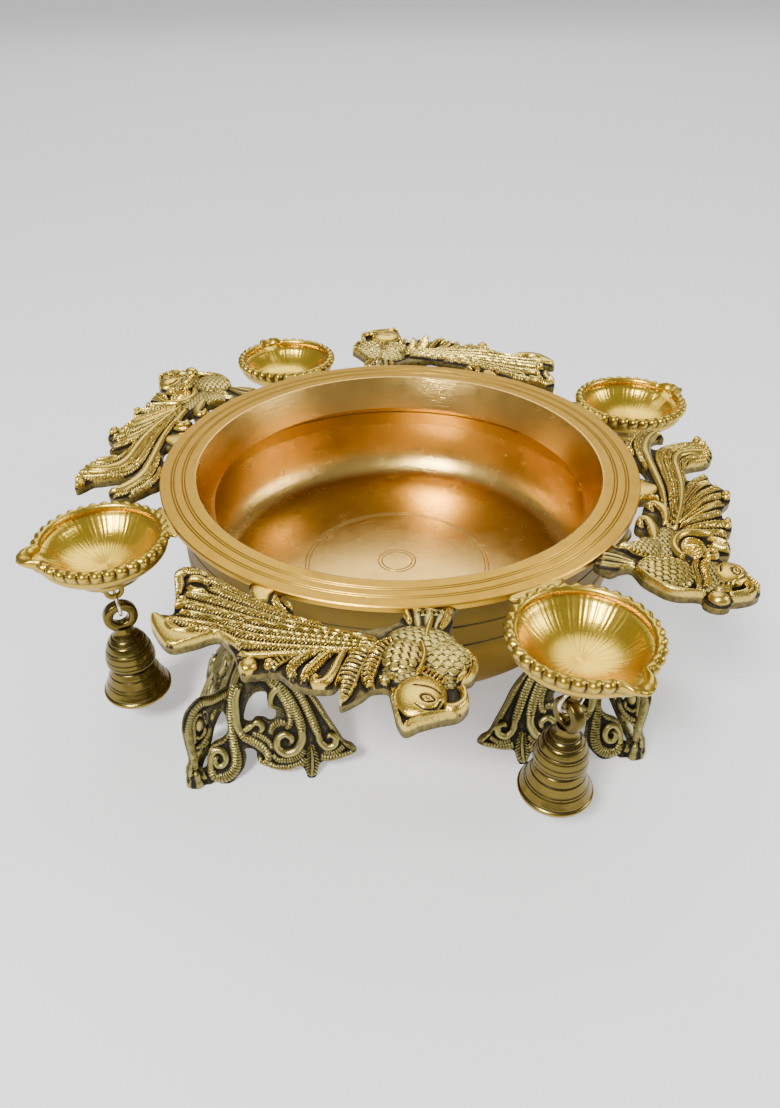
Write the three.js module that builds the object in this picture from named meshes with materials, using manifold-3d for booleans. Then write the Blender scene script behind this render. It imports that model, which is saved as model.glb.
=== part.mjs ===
// Decorative brass diya bowl: a wide lipped bowl with four oil lamps, four peacocks,
// four hanging bells and four filigree corner feet.
// Millimetres, +Z up. The origin lies on the bowl's axis at floor level.
// Lamps stand on +X, +Y, -X and -Y; each piece is made once at azimuth 0 and turned to its place.
import * as THREE from 'three';
import { mergeVertices } from 'three/addons/utils/BufferGeometryUtils.js';
import Module from 'manifold-3d';

const wasm = await Module();
wasm.setup();

// Bowl
const RIM_TOP = 140;
const RIM_RADIUS = 150;
const RIM_WIDTH = 22.4;
const RIM_THICK = 4;
const CONE_DROP = 22;
const CONE_RUN = 8.8;
const CONE_WALL = 2.4;
const CONE_ROOT = 1;
const LIP_OVERHANG = 10;
const BOWL_WALL = 3.5;
const SHOULDER_DROP = 45;
const BELLY_TAPER = 2.5;
const BELLY_DROP = 66;
const BASE_TAPER = 10;
const BOWL_DEPTH = 86;
const BASE_CORNER = 8;
const BASE_BAND = 34;
const BASE_RISE = 3;
const BOWL_STEPS = 56;

// Radii and heights of the bowl that follow from its rim
const rimInner = RIM_RADIUS - RIM_WIDTH;
const coneFoot = rimInner - CONE_RUN;
const neckRadius = RIM_RADIUS - LIP_OVERHANG;
const bellyRadius = neckRadius - BELLY_TAPER;
const baseEdge = neckRadius - BASE_TAPER;
const baseFlat = baseEdge - BASE_BAND;
const rimUnder = RIM_TOP - RIM_THICK;
const shoulderHeight = RIM_TOP - SHOULDER_DROP;
const bellyHeight = RIM_TOP - BELLY_DROP;
const baseHeight = RIM_TOP - BOWL_DEPTH;

// Joints between fixed pieces
const SEAT_GAP = 0.3;
const WELD = 1e-4;

// Lamps
const LAMP_STANDOFF = 0.5;
const LAMP_RADIUS = 38.8;
const LAMP_LIP_WIDTH = 6.3;
const LAMP_LIP_SLOPE = 2;
const LAMP_BAND = 5;
const LAMP_SHOULDER_STEP = 2.8;
const LAMP_DEPTH = 24;
const LAMP_FOOT = 20.5;
const LAMP_FOOT_STEP = 5;
const LAMP_FOOT_FLARE = 4;
const LAMP_FLOOR = 3.5;
const LAMP_CUP_DEPTH = 18.5;
const SPOUT_REACH = 8;
const SPOUT_SPREAD = 0.2;
const LAMP_STEPS = 28;
const lampReach = RIM_RADIUS + LAMP_STANDOFF + LAMP_RADIUS;
const lampLip = LAMP_RADIUS - LAMP_LIP_WIDTH;
const lampShoulder = LAMP_RADIUS - LAMP_SHOULDER_STEP;
const TAB_ROOT = 17;
const TAB_NECK = 11;
const TAB_THICK = 3.4;

// Lug under each lamp, wire ring and the bell's eye
const LUG_DROP = 38;
const LUG_RADIUS = 6;
const LUG_HOLE = 3.2;
const LUG_THICK = 3;
const LUG_STEM = 7;
const WIRE = 1.1;
const RUNNING_GAP = 0.35;
const EYE_RADIUS = 10.4;
const EYE_HOLE = 4.6;
const EYE_THICK = 7;
const RING_RADIUS = 7.5;
const RING_STEPS = 18;

// Bells
const BELL_BOTTOM = 116.7;
const BELL_MOUTH = 21.3;
const BELL_LIP = 2.4;
const BELL_DOME = 15;
const BELL_WAIST = 13.6;
const BELL_WALL = 2.2;
const BELL_CROWN = 6;
const BELL_NECK = 5.6;
const BELL_NECK_STEP = 2.5;
const BELL_STEPS = 18;
const STAPLE_RADIUS = 3.4;
const STAPLE_HOLE = 1.9;
const STAPLE_THICK = 1.8;
const CLAPPER_WIRE = 0.7;
const CLAPPER_LOOP = 2.9;
const CLAPPER_ROD = 1;
const CLAPPER_BALL = 4.4;
const CLAPPER_BOTTOM = 1.4;

// Peacocks
const PLATE_TOP = 0.5;
const PLATE_THICK = 7;
const RELIEF_ROOT = 1;
const HEAD_RISE = 3.5;
const BODY_RISE = 3.5;
const WING_RISE = 1.6;
const FEATHER_RISE = 1.4;

// Feet
const FOOT_GRIP = 18;
const FOOT_BITE = 2.7;
const WING_LENGTH = 101;
const WING_SPREAD = 45;
const WING_LEAN = 25;
const WING_THICK = 5.5;
const SCROLL_THICK = 5;
const KNOT_RADIUS = 6.5;
const KNOT_HEIGHT = 12;

// Azimuths, in degrees
const STATIONS = 4;
const PEACOCK_OFFSET = 45;
const FOOT_OFFSET = 22.5;

const radians = THREE.MathUtils.degToRad;

// Turns a closed three.js geometry into a solid, with its faces pointing out
function solid(geometry) {
  const bare = geometry.clone();
  bare.deleteAttribute('normal');
  bare.deleteAttribute('uv');
  const welded = mergeVertices(bare, WELD);
  const corners = welded.index.array;
  const out = [];
  const back = [];
  for (let i = 0; i < corners.length; i += 3) {
    const a = corners[i];
    const b = corners[i + 1];
    const c = corners[i + 2];
    if (a !== b && b !== c && c !== a) {
      out.push(a, b, c);
      back.push(a, c, b);
    }
  }
  const places = new Float32Array(welded.attributes.position.array);
  const wrap = (faces) => new wasm.Manifold(new wasm.Mesh({
    numProp: 3,
    vertProperties: places,
    triVerts: new Uint32Array(faces),
  }));
  const body = wrap(out);
  return body.volume() > 0 ? body : wrap(back);
}

// Turns a solid back into a geometry
function geometryOf(body) {
  const mesh = body.getMesh();
  const geometry = new THREE.BufferGeometry();
  geometry.setAttribute('position', new THREE.BufferAttribute(new Float32Array(mesh.vertProperties), 3));
  geometry.setIndex(new THREE.BufferAttribute(new Uint32Array(mesh.triVerts), 1));
  return geometry;
}

function joined(bodies) {
  return bodies.reduce((sum, body) => sum.add(body));
}

// A profile of [radius, height] points turned about the vertical axis
function turned(profile, steps) {
  const points = profile.map(([radius, height]) => new THREE.Vector2(radius, height));
  return new THREE.LatheGeometry(points, steps).rotateX(Math.PI / 2);
}

// A flat outline of [x, y] points, with holes, between two heights
function plate(outline, low, high, holes = []) {
  const shape = new THREE.Shape(outline.map(([x, y]) => new THREE.Vector2(x, y)));
  shape.holes = holes.map((hole) => new THREE.Path(hole.map(([x, y]) => new THREE.Vector2(x, y))));
  const geometry = new THREE.ExtrudeGeometry(shape, { depth: high - low, bevelEnabled: false });
  return geometry.translate(0, 0, low);
}

function circle(x, y, radius, steps) {
  const angle = (i) => (i * 2 * Math.PI) / steps;
  return Array.from({ length: steps }, (_, i) => [x + radius * Math.cos(angle(i)), y + radius * Math.sin(angle(i))]);
}

// Stands a flat geometry up: its y becomes height and its thickness lies across, centred
function upright(geometry, thickness) {
  return geometry.translate(0, 0, -thickness / 2).rotateX(Math.PI / 2);
}

// A ribbon between two heights along [x, y, half width] stations, with pointed ends
function ribbon(stations, low, high) {
  const curve = new THREE.CatmullRomCurve3(stations.map(([x, y, w]) => new THREE.Vector3(x, y, w)));
  const count = stations.length * 2;
  const left = [];
  const right = [];
  for (let i = 0; i <= count; i += 1) {
    const at = curve.getPoint(i / count);
    const along = curve.getTangent(i / count);
    const across = new THREE.Vector2(-along.y, along.x).normalize();
    left.push([at.x + across.x * at.z, at.y + across.y * at.z]);
    right.unshift([at.x - across.x * at.z, at.y - across.y * at.z]);
  }
  return plate([...left, ...right], low, high);
}

// A flattened dome with its widest ring at the given height
function dome([x, y, wide, deep], height, rise) {
  return new THREE.SphereGeometry(1, 14, 8).rotateX(Math.PI / 2).scale(wide, deep, rise).translate(x, y, height);
}

// Outside of the bowl from the rim's top edge to the middle of its base, grown by a clearance
function bowlOutside(grow) {
  return [
    [RIM_RADIUS + grow, RIM_TOP + grow],
    [RIM_RADIUS + grow, rimUnder - grow],
    [neckRadius + grow, rimUnder - grow],
    [neckRadius + grow, shoulderHeight],
    [bellyRadius + grow, bellyHeight],
    [baseEdge + grow, baseHeight + BASE_CORNER],
    [baseEdge - BASE_CORNER * 0.5 + grow, baseHeight + BASE_CORNER * 0.3 - grow],
    [baseEdge - BASE_CORNER * 1.5, baseHeight - grow],
    [baseFlat, baseHeight - grow],
    [0, baseHeight + BASE_RISE - grow],
  ];
}

// Inside of the bowl from the middle of its floor up to the rim, under the lip's inner cone
function bowlInside() {
  const floor = baseHeight + BOWL_WALL;
  const coneEnd = RIM_TOP - CONE_DROP;
  return [
    [0, floor + BASE_RISE],
    [baseFlat, floor],
    [baseEdge - BASE_CORNER * 1.5, floor],
    [baseEdge - BOWL_WALL, baseHeight + BASE_CORNER],
    [bellyRadius - BOWL_WALL, bellyHeight],
    [neckRadius - BOWL_WALL, shoulderHeight],
    [neckRadius - BOWL_WALL, rimUnder - CONE_ROOT],
    [rimInner + CONE_WALL, rimUnder - CONE_ROOT],
    [coneFoot + CONE_WALL, coneEnd],
    [coneFoot, coneEnd],
    [rimInner, RIM_TOP],
  ];
}

function bowlBody() {
  return solid(turned([...bowlInside(), ...bowlOutside(0)], BOWL_STEPS));
}

// The space that the bowl fills, with the seat gap round it: whatever touches the bowl is cut by it
const bowlSpace = solid(turned([[0, RIM_TOP + SEAT_GAP], ...bowlOutside(SEAT_GAP)], BOWL_STEPS));

// Lamp cup: outer profile down to the stepped foot, then the inside up to the lip
function lampProfile() {
  const stepTop = -LAMP_DEPTH + LAMP_FOOT_STEP;
  return [
    [0, -LAMP_DEPTH - LAMP_FLOOR],
    [LAMP_FOOT * 0.62, -LAMP_DEPTH - LAMP_FLOOR],
    [LAMP_FOOT, -LAMP_DEPTH],
    [LAMP_FOOT, stepTop],
    [LAMP_FOOT + LAMP_FOOT_FLARE, stepTop + LAMP_FOOT_STEP * 0.3],
    [lampShoulder - LAMP_SHOULDER_STEP, -LAMP_BAND * 1.9],
    [lampShoulder, -LAMP_BAND],
    [LAMP_RADIUS, -LAMP_BAND * 0.5],
    [LAMP_RADIUS, 0],
    [lampLip + LAMP_LIP_SLOPE, 0],
    [lampLip, -LAMP_LIP_SLOPE],
    [lampLip * 0.88, -LAMP_CUP_DEPTH * 0.5],
    [lampLip * 0.5, -LAMP_CUP_DEPTH * 0.92],
    [0, -LAMP_CUP_DEPTH],
  ];
}

// Pulls the lip out into a pouring spout on the side away from the bowl
function pullSpout(geometry) {
  const place = geometry.attributes.position;
  for (let i = 0; i < place.count; i += 1) {
    const x = place.getX(i);
    const y = place.getY(i);
    const radius = Math.hypot(x, y);
    const angle = Math.atan2(y, x);
    const high = THREE.MathUtils.clamp(1 + place.getZ(i) / (LAMP_BAND * 2.4), 0, 1);
    const pull = SPOUT_REACH * high * Math.exp(-((angle / SPOUT_SPREAD) ** 2)) * (radius / LAMP_RADIUS);
    if (radius > 0) {
      place.setX(i, x + (x / radius) * pull);
      place.setY(i, y + (y / radius) * pull);
    }
  }
  return geometry;
}

function lampBody() {
  const cup = pullSpout(turned(lampProfile(), LAMP_STEPS)).translate(lampReach, 0, RIM_TOP);
  const tabStart = RIM_RADIUS - RIM_THICK;
  const tabEnd = lampReach - (lampShoulder + lampLip) / 2;
  const tab = plate([
    [tabStart, -TAB_ROOT],
    [RIM_RADIUS + 1, -TAB_ROOT],
    [tabEnd, -TAB_NECK],
    [tabEnd, TAB_NECK],
    [RIM_RADIUS + 1, TAB_ROOT],
    [tabStart, TAB_ROOT],
  ], RIM_TOP - TAB_THICK, RIM_TOP - SEAT_GAP);
  const lugMid = RIM_TOP - LUG_DROP;
  const lug = upright(plate([
    ...circle(lampReach, lugMid, LUG_RADIUS, 16).slice(9),
    ...circle(lampReach, lugMid, LUG_RADIUS, 16).slice(0, 1),
    [lampReach + LUG_STEM, RIM_TOP - LAMP_DEPTH],
    [lampReach - LUG_STEM, RIM_TOP - LAMP_DEPTH],
    [lampReach - LUG_RADIUS, lugMid],
  ], 0, LUG_THICK, [circle(lampReach, lugMid, LUG_HOLE, 12)]), LUG_THICK);
  return joined([solid(cup), solid(tab), solid(lug)]).subtract(bowlSpace);
}

// The ring hangs on the bottom of the lug's hole
const ringTop = RIM_TOP - LUG_DROP - LUG_HOLE + WIRE + RUNNING_GAP;
const ringMid = ringTop - RING_RADIUS;

function ringBody() {
  const ring = new THREE.TorusGeometry(RING_RADIUS, WIRE, 6, RING_STEPS).rotateY(Math.PI / 2);
  return solid(ring.translate(lampReach, 0, ringMid));
}

// The eye hangs on the bottom of the ring, which curves up a little across the eye's thickness
const ringRise = RING_RADIUS - Math.sqrt(RING_RADIUS ** 2 - (EYE_THICK / 2) ** 2);
const eyeMid = ringMid - RING_RADIUS + ringRise + WIRE + RUNNING_GAP - EYE_HOLE;
const bellMouth = RIM_TOP - BELL_BOTTOM;
const bellTop = eyeMid - EYE_RADIUS;
const bellHeight = bellTop - bellMouth;
const crownInside = bellTop - BELL_CROWN;
const stapleMid = crownInside - STAPLE_HOLE;

function bellProfile() {
  const at = (share) => bellMouth + bellHeight * share;
  return [
    [0, bellTop + BELL_NECK_STEP],
    [BELL_NECK * 0.7, bellTop + BELL_NECK_STEP],
    [BELL_NECK, bellTop - BELL_NECK_STEP * 0.8],
    [BELL_DOME * 0.66, at(0.9)],
    [BELL_DOME * 0.9, at(0.79)],
    [BELL_DOME, at(0.64)],
    [BELL_DOME - 0.3, at(0.54)],
    [BELL_WAIST, at(0.45)],
    [BELL_WAIST + 0.2, at(0.37)],
    [BELL_MOUTH * 0.73, at(0.24)],
    [BELL_MOUTH * 0.86, at(0.12)],
    [BELL_MOUTH, at(0.04)],
    [BELL_MOUTH, bellMouth],
    [BELL_MOUTH - BELL_LIP, bellMouth],
    [BELL_MOUTH * 0.86 - BELL_WALL, at(0.12)],
    [BELL_MOUTH * 0.73 - BELL_WALL, at(0.24)],
    [BELL_WAIST - BELL_WALL, at(0.42)],
    [BELL_DOME - BELL_WALL, at(0.62)],
    [BELL_DOME * 0.6, crownInside - BELL_WALL],
    [0, crownInside],
  ];
}

function bellBody() {
  const shell = turned(bellProfile(), BELL_STEPS).translate(lampReach, 0, 0);
  const eye = plate(circle(lampReach, eyeMid, EYE_RADIUS, 18), 0, EYE_THICK,
    [circle(lampReach, eyeMid, EYE_HOLE, 12)]);
  const staple = plate(circle(lampReach, stapleMid, STAPLE_RADIUS, 8), 0, STAPLE_THICK,
    [circle(lampReach, stapleMid, STAPLE_HOLE, 8)]);
  return joined([solid(shell), solid(upright(eye, EYE_THICK)), solid(upright(staple, STAPLE_THICK))]);
}

// The clapper hangs on the bottom of the staple's hole inside the bell
const clapperTop = stapleMid - STAPLE_HOLE + CLAPPER_WIRE + RUNNING_GAP;

function clapperBody() {
  const loopMid = clapperTop - CLAPPER_LOOP;
  const rodTop = loopMid - CLAPPER_LOOP;
  const ballMid = bellMouth + CLAPPER_BOTTOM + CLAPPER_BALL;
  const loop = new THREE.TorusGeometry(CLAPPER_LOOP, CLAPPER_WIRE, 5, 10).rotateY(Math.PI / 2);
  const rod = new THREE.CylinderGeometry(CLAPPER_ROD, CLAPPER_ROD, rodTop - ballMid, 6).rotateX(Math.PI / 2);
  const ball = new THREE.SphereGeometry(CLAPPER_BALL, 10, 7).rotateX(Math.PI / 2);
  return joined([
    solid(loop.translate(lampReach, 0, loopMid)),
    solid(rod.translate(lampReach, 0, (rodTop + ballMid) / 2)),
    solid(ball.translate(lampReach, 0, ballMid)),
  ]);
}

// Peacocks seen from above: x runs out from the edge of the rim, y runs towards the beak.
// Breast and head: how far out from the rim, how far towards the beak, and half width each way.
const SPREAD_PEACOCK = {
  outline: [
    [-12, 50], [-20, 70], [-12, 69], [-7, 71.5], [2, 72], [6, 76], [13, 83.5], [18, 89.5], [24, 90.5],
    [30, 89.5], [34, 86], [38.5, 89], [44, 91.5], [49, 91.3], [54, 88.5], [58.4, 81.5], [63.3, 75],
    [68.6, 69.6], [65, 65], [58, 61.2], [50, 57], [46.5, 54.5], [49, 48.2], [55, 45], [63, 38.7],
    [58.5, 36], [48.5, 33], [54, 31], [57, 22], [56.5, 13], [52.3, 4.7], [53.5, -1], [56.5, -7],
    [58.5, -10.5], [56, -14], [46, -21.5], [39, -31], [39.3, -36], [46.5, -43.5], [51.8, -53.5],
    [42, -67.2], [35, -72.3], [31, -66], [25.3, -65], [20, -67], [13.5, -70.5], [2.5, -77], [-2.5, -77.8],
    [-8, -76], [-4, -60], [-0.4, -44.3], [3, -36], [7.5, -29], [-2, -36], [-10, -36], [-10, -20],
    [1, -19], [6, -8], [12, -5.5], [13, 0], [14.5, 11], [16.4, 22.4], [12, 31], [7, 39.6], [1, 45.5],
  ],
  wing: [
    [18, 48], [26, 49], [40, 45], [51, 42], [59, 38], [52, 34], [46, 26], [51, 22], [52, 15], [46, 8],
    [50, 1], [46, -6], [38, -14], [30, -10], [24, 8], [21, 28],
  ],
  feathers: [
    [[20, 44, 2], [27, 10, 3.5], [32, -20, 3.5], [36, -42, 3.5], [43, -56, 4], [34, -69, 2]],
    [[17, 44, 2], [21, 10, 3], [23, -20, 3.5], [23, -46, 3.5], [27, -62, 2]],
    [[14.5, 42, 2], [18.5, 18, 1.8], [15, -20, 3.5], [12, -46, 3.5], [14, -66, 2.5]],
    [[12, -14, 1.5], [6, -32, 2.5], [2, -50, 3], [-2, -70, 3]],
  ],
  breast: [21, 68, 17, 19],
  head: [49.5, 70.5, 11.5, 10.5],
};

const HOOKED_PEACOCK = {
  outline: [
    [-14, 57], [-18.5, 72.5], [-10, 79], [-4, 74], [1.3, 72], [3.8, 75.5], [7.5, 80.5], [13.8, 85],
    [20, 88.3], [26.3, 88.8], [33, 86.9], [37, 86.8], [38.3, 90.5], [42, 92.8], [47, 92.3], [50.3, 89.5],
    [51, 86.3], [55, 84.5], [60.3, 81], [64.3, 76], [64.4, 71], [60, 65], [56.3, 57.5], [52.3, 53.8],
    [47.5, 51.9], [44.6, 47], [50, 43.8], [50.8, 38.8], [50, 32], [48.5, 24], [51.2, 20], [51.2, 13],
    [46.7, 5.5], [47, -4], [50.6, -12.5], [50.9, -18.8], [49, -24.5], [45, -28.5], [40, -32],
    [37, -41], [30, -33.8], [26.5, -31.5], [24, -38], [24.5, -45], [28, -49], [37, -55.5], [40.3, -64],
    [40.3, -72], [37.8, -80], [34, -82], [33, -87], [30, -89.3], [27.4, -85], [25.5, -79.5], [20, -76],
    [10.5, -69.5], [6.5, -66.3], [3.2, -67], [2.2, -74], [5, -80.5], [10, -83.5], [6.5, -90], [1, -93],
    [-4.5, -91], [-9.5, -84], [-13, -76], [-16, -68], [-8.5, -47], [-2, -40], [1, -35], [3.2, -29],
    [2.6, -25], [-4, -26], [-10, -26], [-10, 1], [-0.6, 1.9], [6, -1.2], [12.3, 0.5], [9, 2], [4.6, 4.4],
    [2.6, 9.4], [5, 13.8], [9.4, 15.2], [12, 20], [11, 25.4], [7, 20.5], [3, 19.6], [0, 22.8], [-0.5, 27.5],
    [0.6, 32.5], [3.5, 34.8], [6.6, 40], [1.3, 46.3], [-6, 52],
  ],
  wing: [
    [16, 24], [22, 52], [32, 56], [42, 47], [48, 41], [47, 33], [46, 24], [49, 14], [44, 6], [46, -10],
    [48, -19], [42, -28], [36, -36], [29, -28], [22, -5],
  ],
  feathers: [
    [[18, 28, 2], [21, 0, 3], [19.5, -20, 3.5], [16, -40, 4], [14.5, -58, 5], [21, -70, 4.5], [31, -75, 3]],
    [[24, -28, 2], [21.5, -46, 2.5], [25, -58, 4], [33, -64, 3.5]],
    [[11, -8, 2], [7.5, -25, 3], [4.5, -40, 3.5], [-0.5, -54, 4], [-4, -70, 5], [-2, -85, 4]],
  ],
  breast: [16.5, 72.5, 14.5, 13.5],
  head: [50.5, 65, 8.5, 10],
};

function peacockBody({ outline, wing, feathers, breast, head }) {
  const top = RIM_TOP - PLATE_TOP;
  const root = top - RELIEF_ROOT;
  const parts = [
    plate(outline, top - PLATE_THICK, top),
    plate(wing, root, top + WING_RISE),
    dome(breast, root, BODY_RISE + RELIEF_ROOT),
    dome(head, root, HEAD_RISE + RELIEF_ROOT),
    ...feathers.map((feather) => ribbon(feather, root, top + FEATHER_RISE)),
  ];
  return joined(parts.map(solid)).translate([RIM_RADIUS, 0, 0]).subtract(bowlSpace);
}

// One wing of a foot on its own plane: x runs from the knot along the floor, y up the slope
const WING_EDGE = [
  [-2, -2], [9, -2], [14, 1.2], [16.5, -2], [23.5, -2], [31, 8], [33.5, 15], [33, 20.5], [36, 21.5], [39.5, 19.5],
  [40, 15], [42, 11], [47, 8.3], [53, 6.5], [59, 6.2], [65, 8.2], [68, 5.5], [70, -2], [74.5, -2], [78, 9],
  [84, 10.2], [91, 11.8], [101, 15.3], [99, 20], [93, 23], [89, 30], [84, 39], [79, 49], [73, 57], [66, 64.5],
  [60, 70.5], [52, 76.5], [44, 79.5], [36, 79.5], [30, 74], [27, 65], [22, 54], [19.5, 48], [23, 44], [23.8, 34],
  [20, 29], [14, 26], [10.5, 20], [9.8, 13], [7, 10], [1, 12],
];

const HEART_OPENING = [
  [34, 40], [38, 38.5], [41, 41], [46, 40.5], [49, 38.5], [52.5, 40], [53, 45], [49.5, 47], [48.5, 52],
  [48, 56.5], [42, 56.5], [37.5, 52], [35, 46],
];

// The place on the wing's edge that meets the bowl
const WING_SEAT = [52, 78];

// The scroll that stands on the knot: x is the reach beyond the knot's middle, y the height
const SCROLL_EDGE = [
  [2.8, 4], [1.3, 14], [-1.7, 22], [-1.2, 36], [-1.7, 50], [-6.2, 59], [-16.2, 62], [-26.2, 57], [-38.2, 56], [-34.2, 48],
  [-28.2, 44], [-24.2, 46], [-21.2, 40], [-22.2, 33], [-18.2, 26], [-10.2, 25], [-6.7, 20], [-6.2, 10], [-8.2, 3],
];

const SCROLL_EYE = [[-14.2, 54], [-19.2, 50], [-19.7, 44], [-17.2, 38], [-15.2, 44]];

// The outlines are stretched so that the wings hold the bowl from its base up to the grip
const spread = radians(WING_SPREAD);
const lean = radians(WING_LEAN);
const furthest = (outline, axis) => Math.max(...outline.map((point) => point[axis]));
const wingAlong = WING_LENGTH / furthest(WING_EDGE, 0);
const wingUp = (baseHeight + FOOT_GRIP) / Math.cos(lean) / furthest(WING_EDGE, 1);

// The knot's reach puts the wing's highest edge just inside the bowl's wall, where the wall cuts it
const gripAlong = WING_SEAT[0] * wingAlong;
const gripIn = WING_SEAT[1] * wingUp * Math.sin(lean);
const gripAcross = (gripAlong - gripIn) * Math.sin(spread);
const footReach = Math.sqrt((bellyRadius - FOOT_BITE) ** 2 - gripAcross ** 2)
  + (gripAlong + gripIn) * Math.cos(spread);

function footBody() {
  const stretched = (outline) => outline.map(([x, y]) => [x * wingAlong, y * wingUp]);
  const flat = plate(stretched(WING_EDGE), -WING_THICK / 2, WING_THICK / 2, [stretched(HEART_OPENING)]);
  const along = new THREE.Vector3(-Math.cos(spread), Math.sin(spread), 0);
  const outward = new THREE.Vector3(Math.sin(spread), Math.cos(spread), 0);
  const up = new THREE.Vector3(0, 0, Math.cos(lean)).addScaledVector(outward, -Math.sin(lean));
  const face = new THREE.Vector3().crossVectors(along, up);
  const wing = flat.applyMatrix4(new THREE.Matrix4().makeBasis(along, up, face));
  const otherWing = wing.clone().scale(1, -1, 1);
  const scroll = upright(plate(stretched(SCROLL_EDGE), 0, SCROLL_THICK, [stretched(SCROLL_EYE)]), SCROLL_THICK);
  const knot = new THREE.CylinderGeometry(KNOT_RADIUS * 0.6, KNOT_RADIUS, KNOT_HEIGHT, 10)
    .rotateX(Math.PI / 2).translate(-KNOT_RADIUS / 2, 0, KNOT_HEIGHT / 2);
  const ground = new THREE.BoxGeometry(RIM_RADIUS * 4, RIM_RADIUS * 4, RIM_TOP)
    .translate(0, 0, -RIM_TOP / 2);
  return joined([wing, otherWing, scroll, knot].map(solid))
    .subtract(solid(ground))
    .translate([footReach, 0, 0])
    .subtract(bowlSpace);
}

// Finishes
const finish = (colour, roughness) => new THREE.MeshStandardMaterial({ color: colour, roughness, metalness: 1 });
const POLISHED = [0xc79a45, 0.22];
const SATIN = [0xb79a4c, 0.35];
const ANTIQUE = [0xa88a45, 0.45];
const DARK = [0x5f5630, 0.5];
const STEEL = [0xd8d6c8, 0.25];

const assembly = new THREE.Group();

function addPiece(name, body, [colour, roughness], azimuth = 0) {
  const mesh = new THREE.Mesh(geometryOf(body), finish(colour, roughness));
  mesh.name = name;
  const station = new THREE.Group();
  station.rotation.z = radians(azimuth);
  station.add(mesh);
  assembly.add(station);
}

// The mirror image of a piece, across the plane y = 0
function mirrored(body) {
  return solid(geometryOf(body).scale(1, -1, 1));
}

addPiece('bowl', bowlBody(), SATIN);

const lamp = lampBody();
const ring = ringBody();
const bell = bellBody();
const clapper = clapperBody();
const peacocks = [peacockBody(SPREAD_PEACOCK), mirrored(peacockBody(HOOKED_PEACOCK))];
const foot = footBody();

for (let i = 0; i < STATIONS; i += 1) {
  const azimuth = (360 / STATIONS) * i;
  addPiece(`lamp_${i + 1}`, lamp, POLISHED, azimuth);
  addPiece(`ring_${i + 1}`, ring, STEEL, azimuth);
  addPiece(`bell_${i + 1}`, bell, DARK, azimuth);
  addPiece(`clapper_${i + 1}`, clapper, DARK, azimuth);
  addPiece(`peacock_${i + 1}`, peacocks[i % 2], ANTIQUE, azimuth + PEACOCK_OFFSET);
  addPiece(`foot_${i + 1}`, foot, DARK, azimuth + FOOT_OFFSET);
}

export default assembly;
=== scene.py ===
"""Dressed model of a brass diya bowl with four oil lamps, peacocks, bells and filigree feet.

Shapes are worked out in millimetres as whole numpy arrays and go into their meshes in metres, in the
frame's own axes. Each piece is drawn once at its own station on +X and is turned to its place.
"""
import logging
import math
from dataclasses import dataclass, replace
from enum import Enum
from typing import Any, Sequence

import bpy
import numpy as np
from mathutils import Matrix, Vector
from mathutils.geometry import delaunay_2d_cdt


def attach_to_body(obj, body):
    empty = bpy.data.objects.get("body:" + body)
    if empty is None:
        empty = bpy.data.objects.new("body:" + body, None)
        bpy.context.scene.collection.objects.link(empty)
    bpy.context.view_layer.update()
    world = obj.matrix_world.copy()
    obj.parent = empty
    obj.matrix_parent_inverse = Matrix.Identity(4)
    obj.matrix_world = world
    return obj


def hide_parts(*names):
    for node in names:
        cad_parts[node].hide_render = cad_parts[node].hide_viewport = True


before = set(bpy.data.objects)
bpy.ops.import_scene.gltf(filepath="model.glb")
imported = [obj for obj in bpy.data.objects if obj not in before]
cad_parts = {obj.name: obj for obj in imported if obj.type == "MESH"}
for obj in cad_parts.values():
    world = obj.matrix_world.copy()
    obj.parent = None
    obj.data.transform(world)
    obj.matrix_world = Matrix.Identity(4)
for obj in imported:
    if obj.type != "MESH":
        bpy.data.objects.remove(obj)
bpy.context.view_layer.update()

Array = np.ndarray
Colour = tuple[float, float, float]
Place = tuple[float, float, float]
Knot = tuple[float, ...]
Stretch = tuple[Array, float, float]

LOG = logging.getLogger("diya_bowl")
MM = 0.001
STATIONS = 4

# Height of the rim and of the lamps' lips, and how far the lamps and bells stand from the bowl's axis.
RIM_TOP = 140.0
REACH = 189.3

# Points worked out between two knots of a curve, and the fewest steps that it is cut into.
KNOT_STEPS = 16
LEAST_STEPS = 4

# How finely a carved line is followed, its least half width and how far its ends take to rise.
LINE_STEP = 0.4
LEAST_WIDTH = 0.25
END_EASE = 1.6

# Depth and half width of an engraved line.
ENGRAVED_DEPTH = 0.6
ENGRAVED_WIDTH = 0.5


def unit(vectors: Array) -> Array:
    """The vectors, along the last axis, at length one."""
    return vectors / np.maximum(np.linalg.norm(vectors, axis=-1, keepdims=True), 1e-9)


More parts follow.
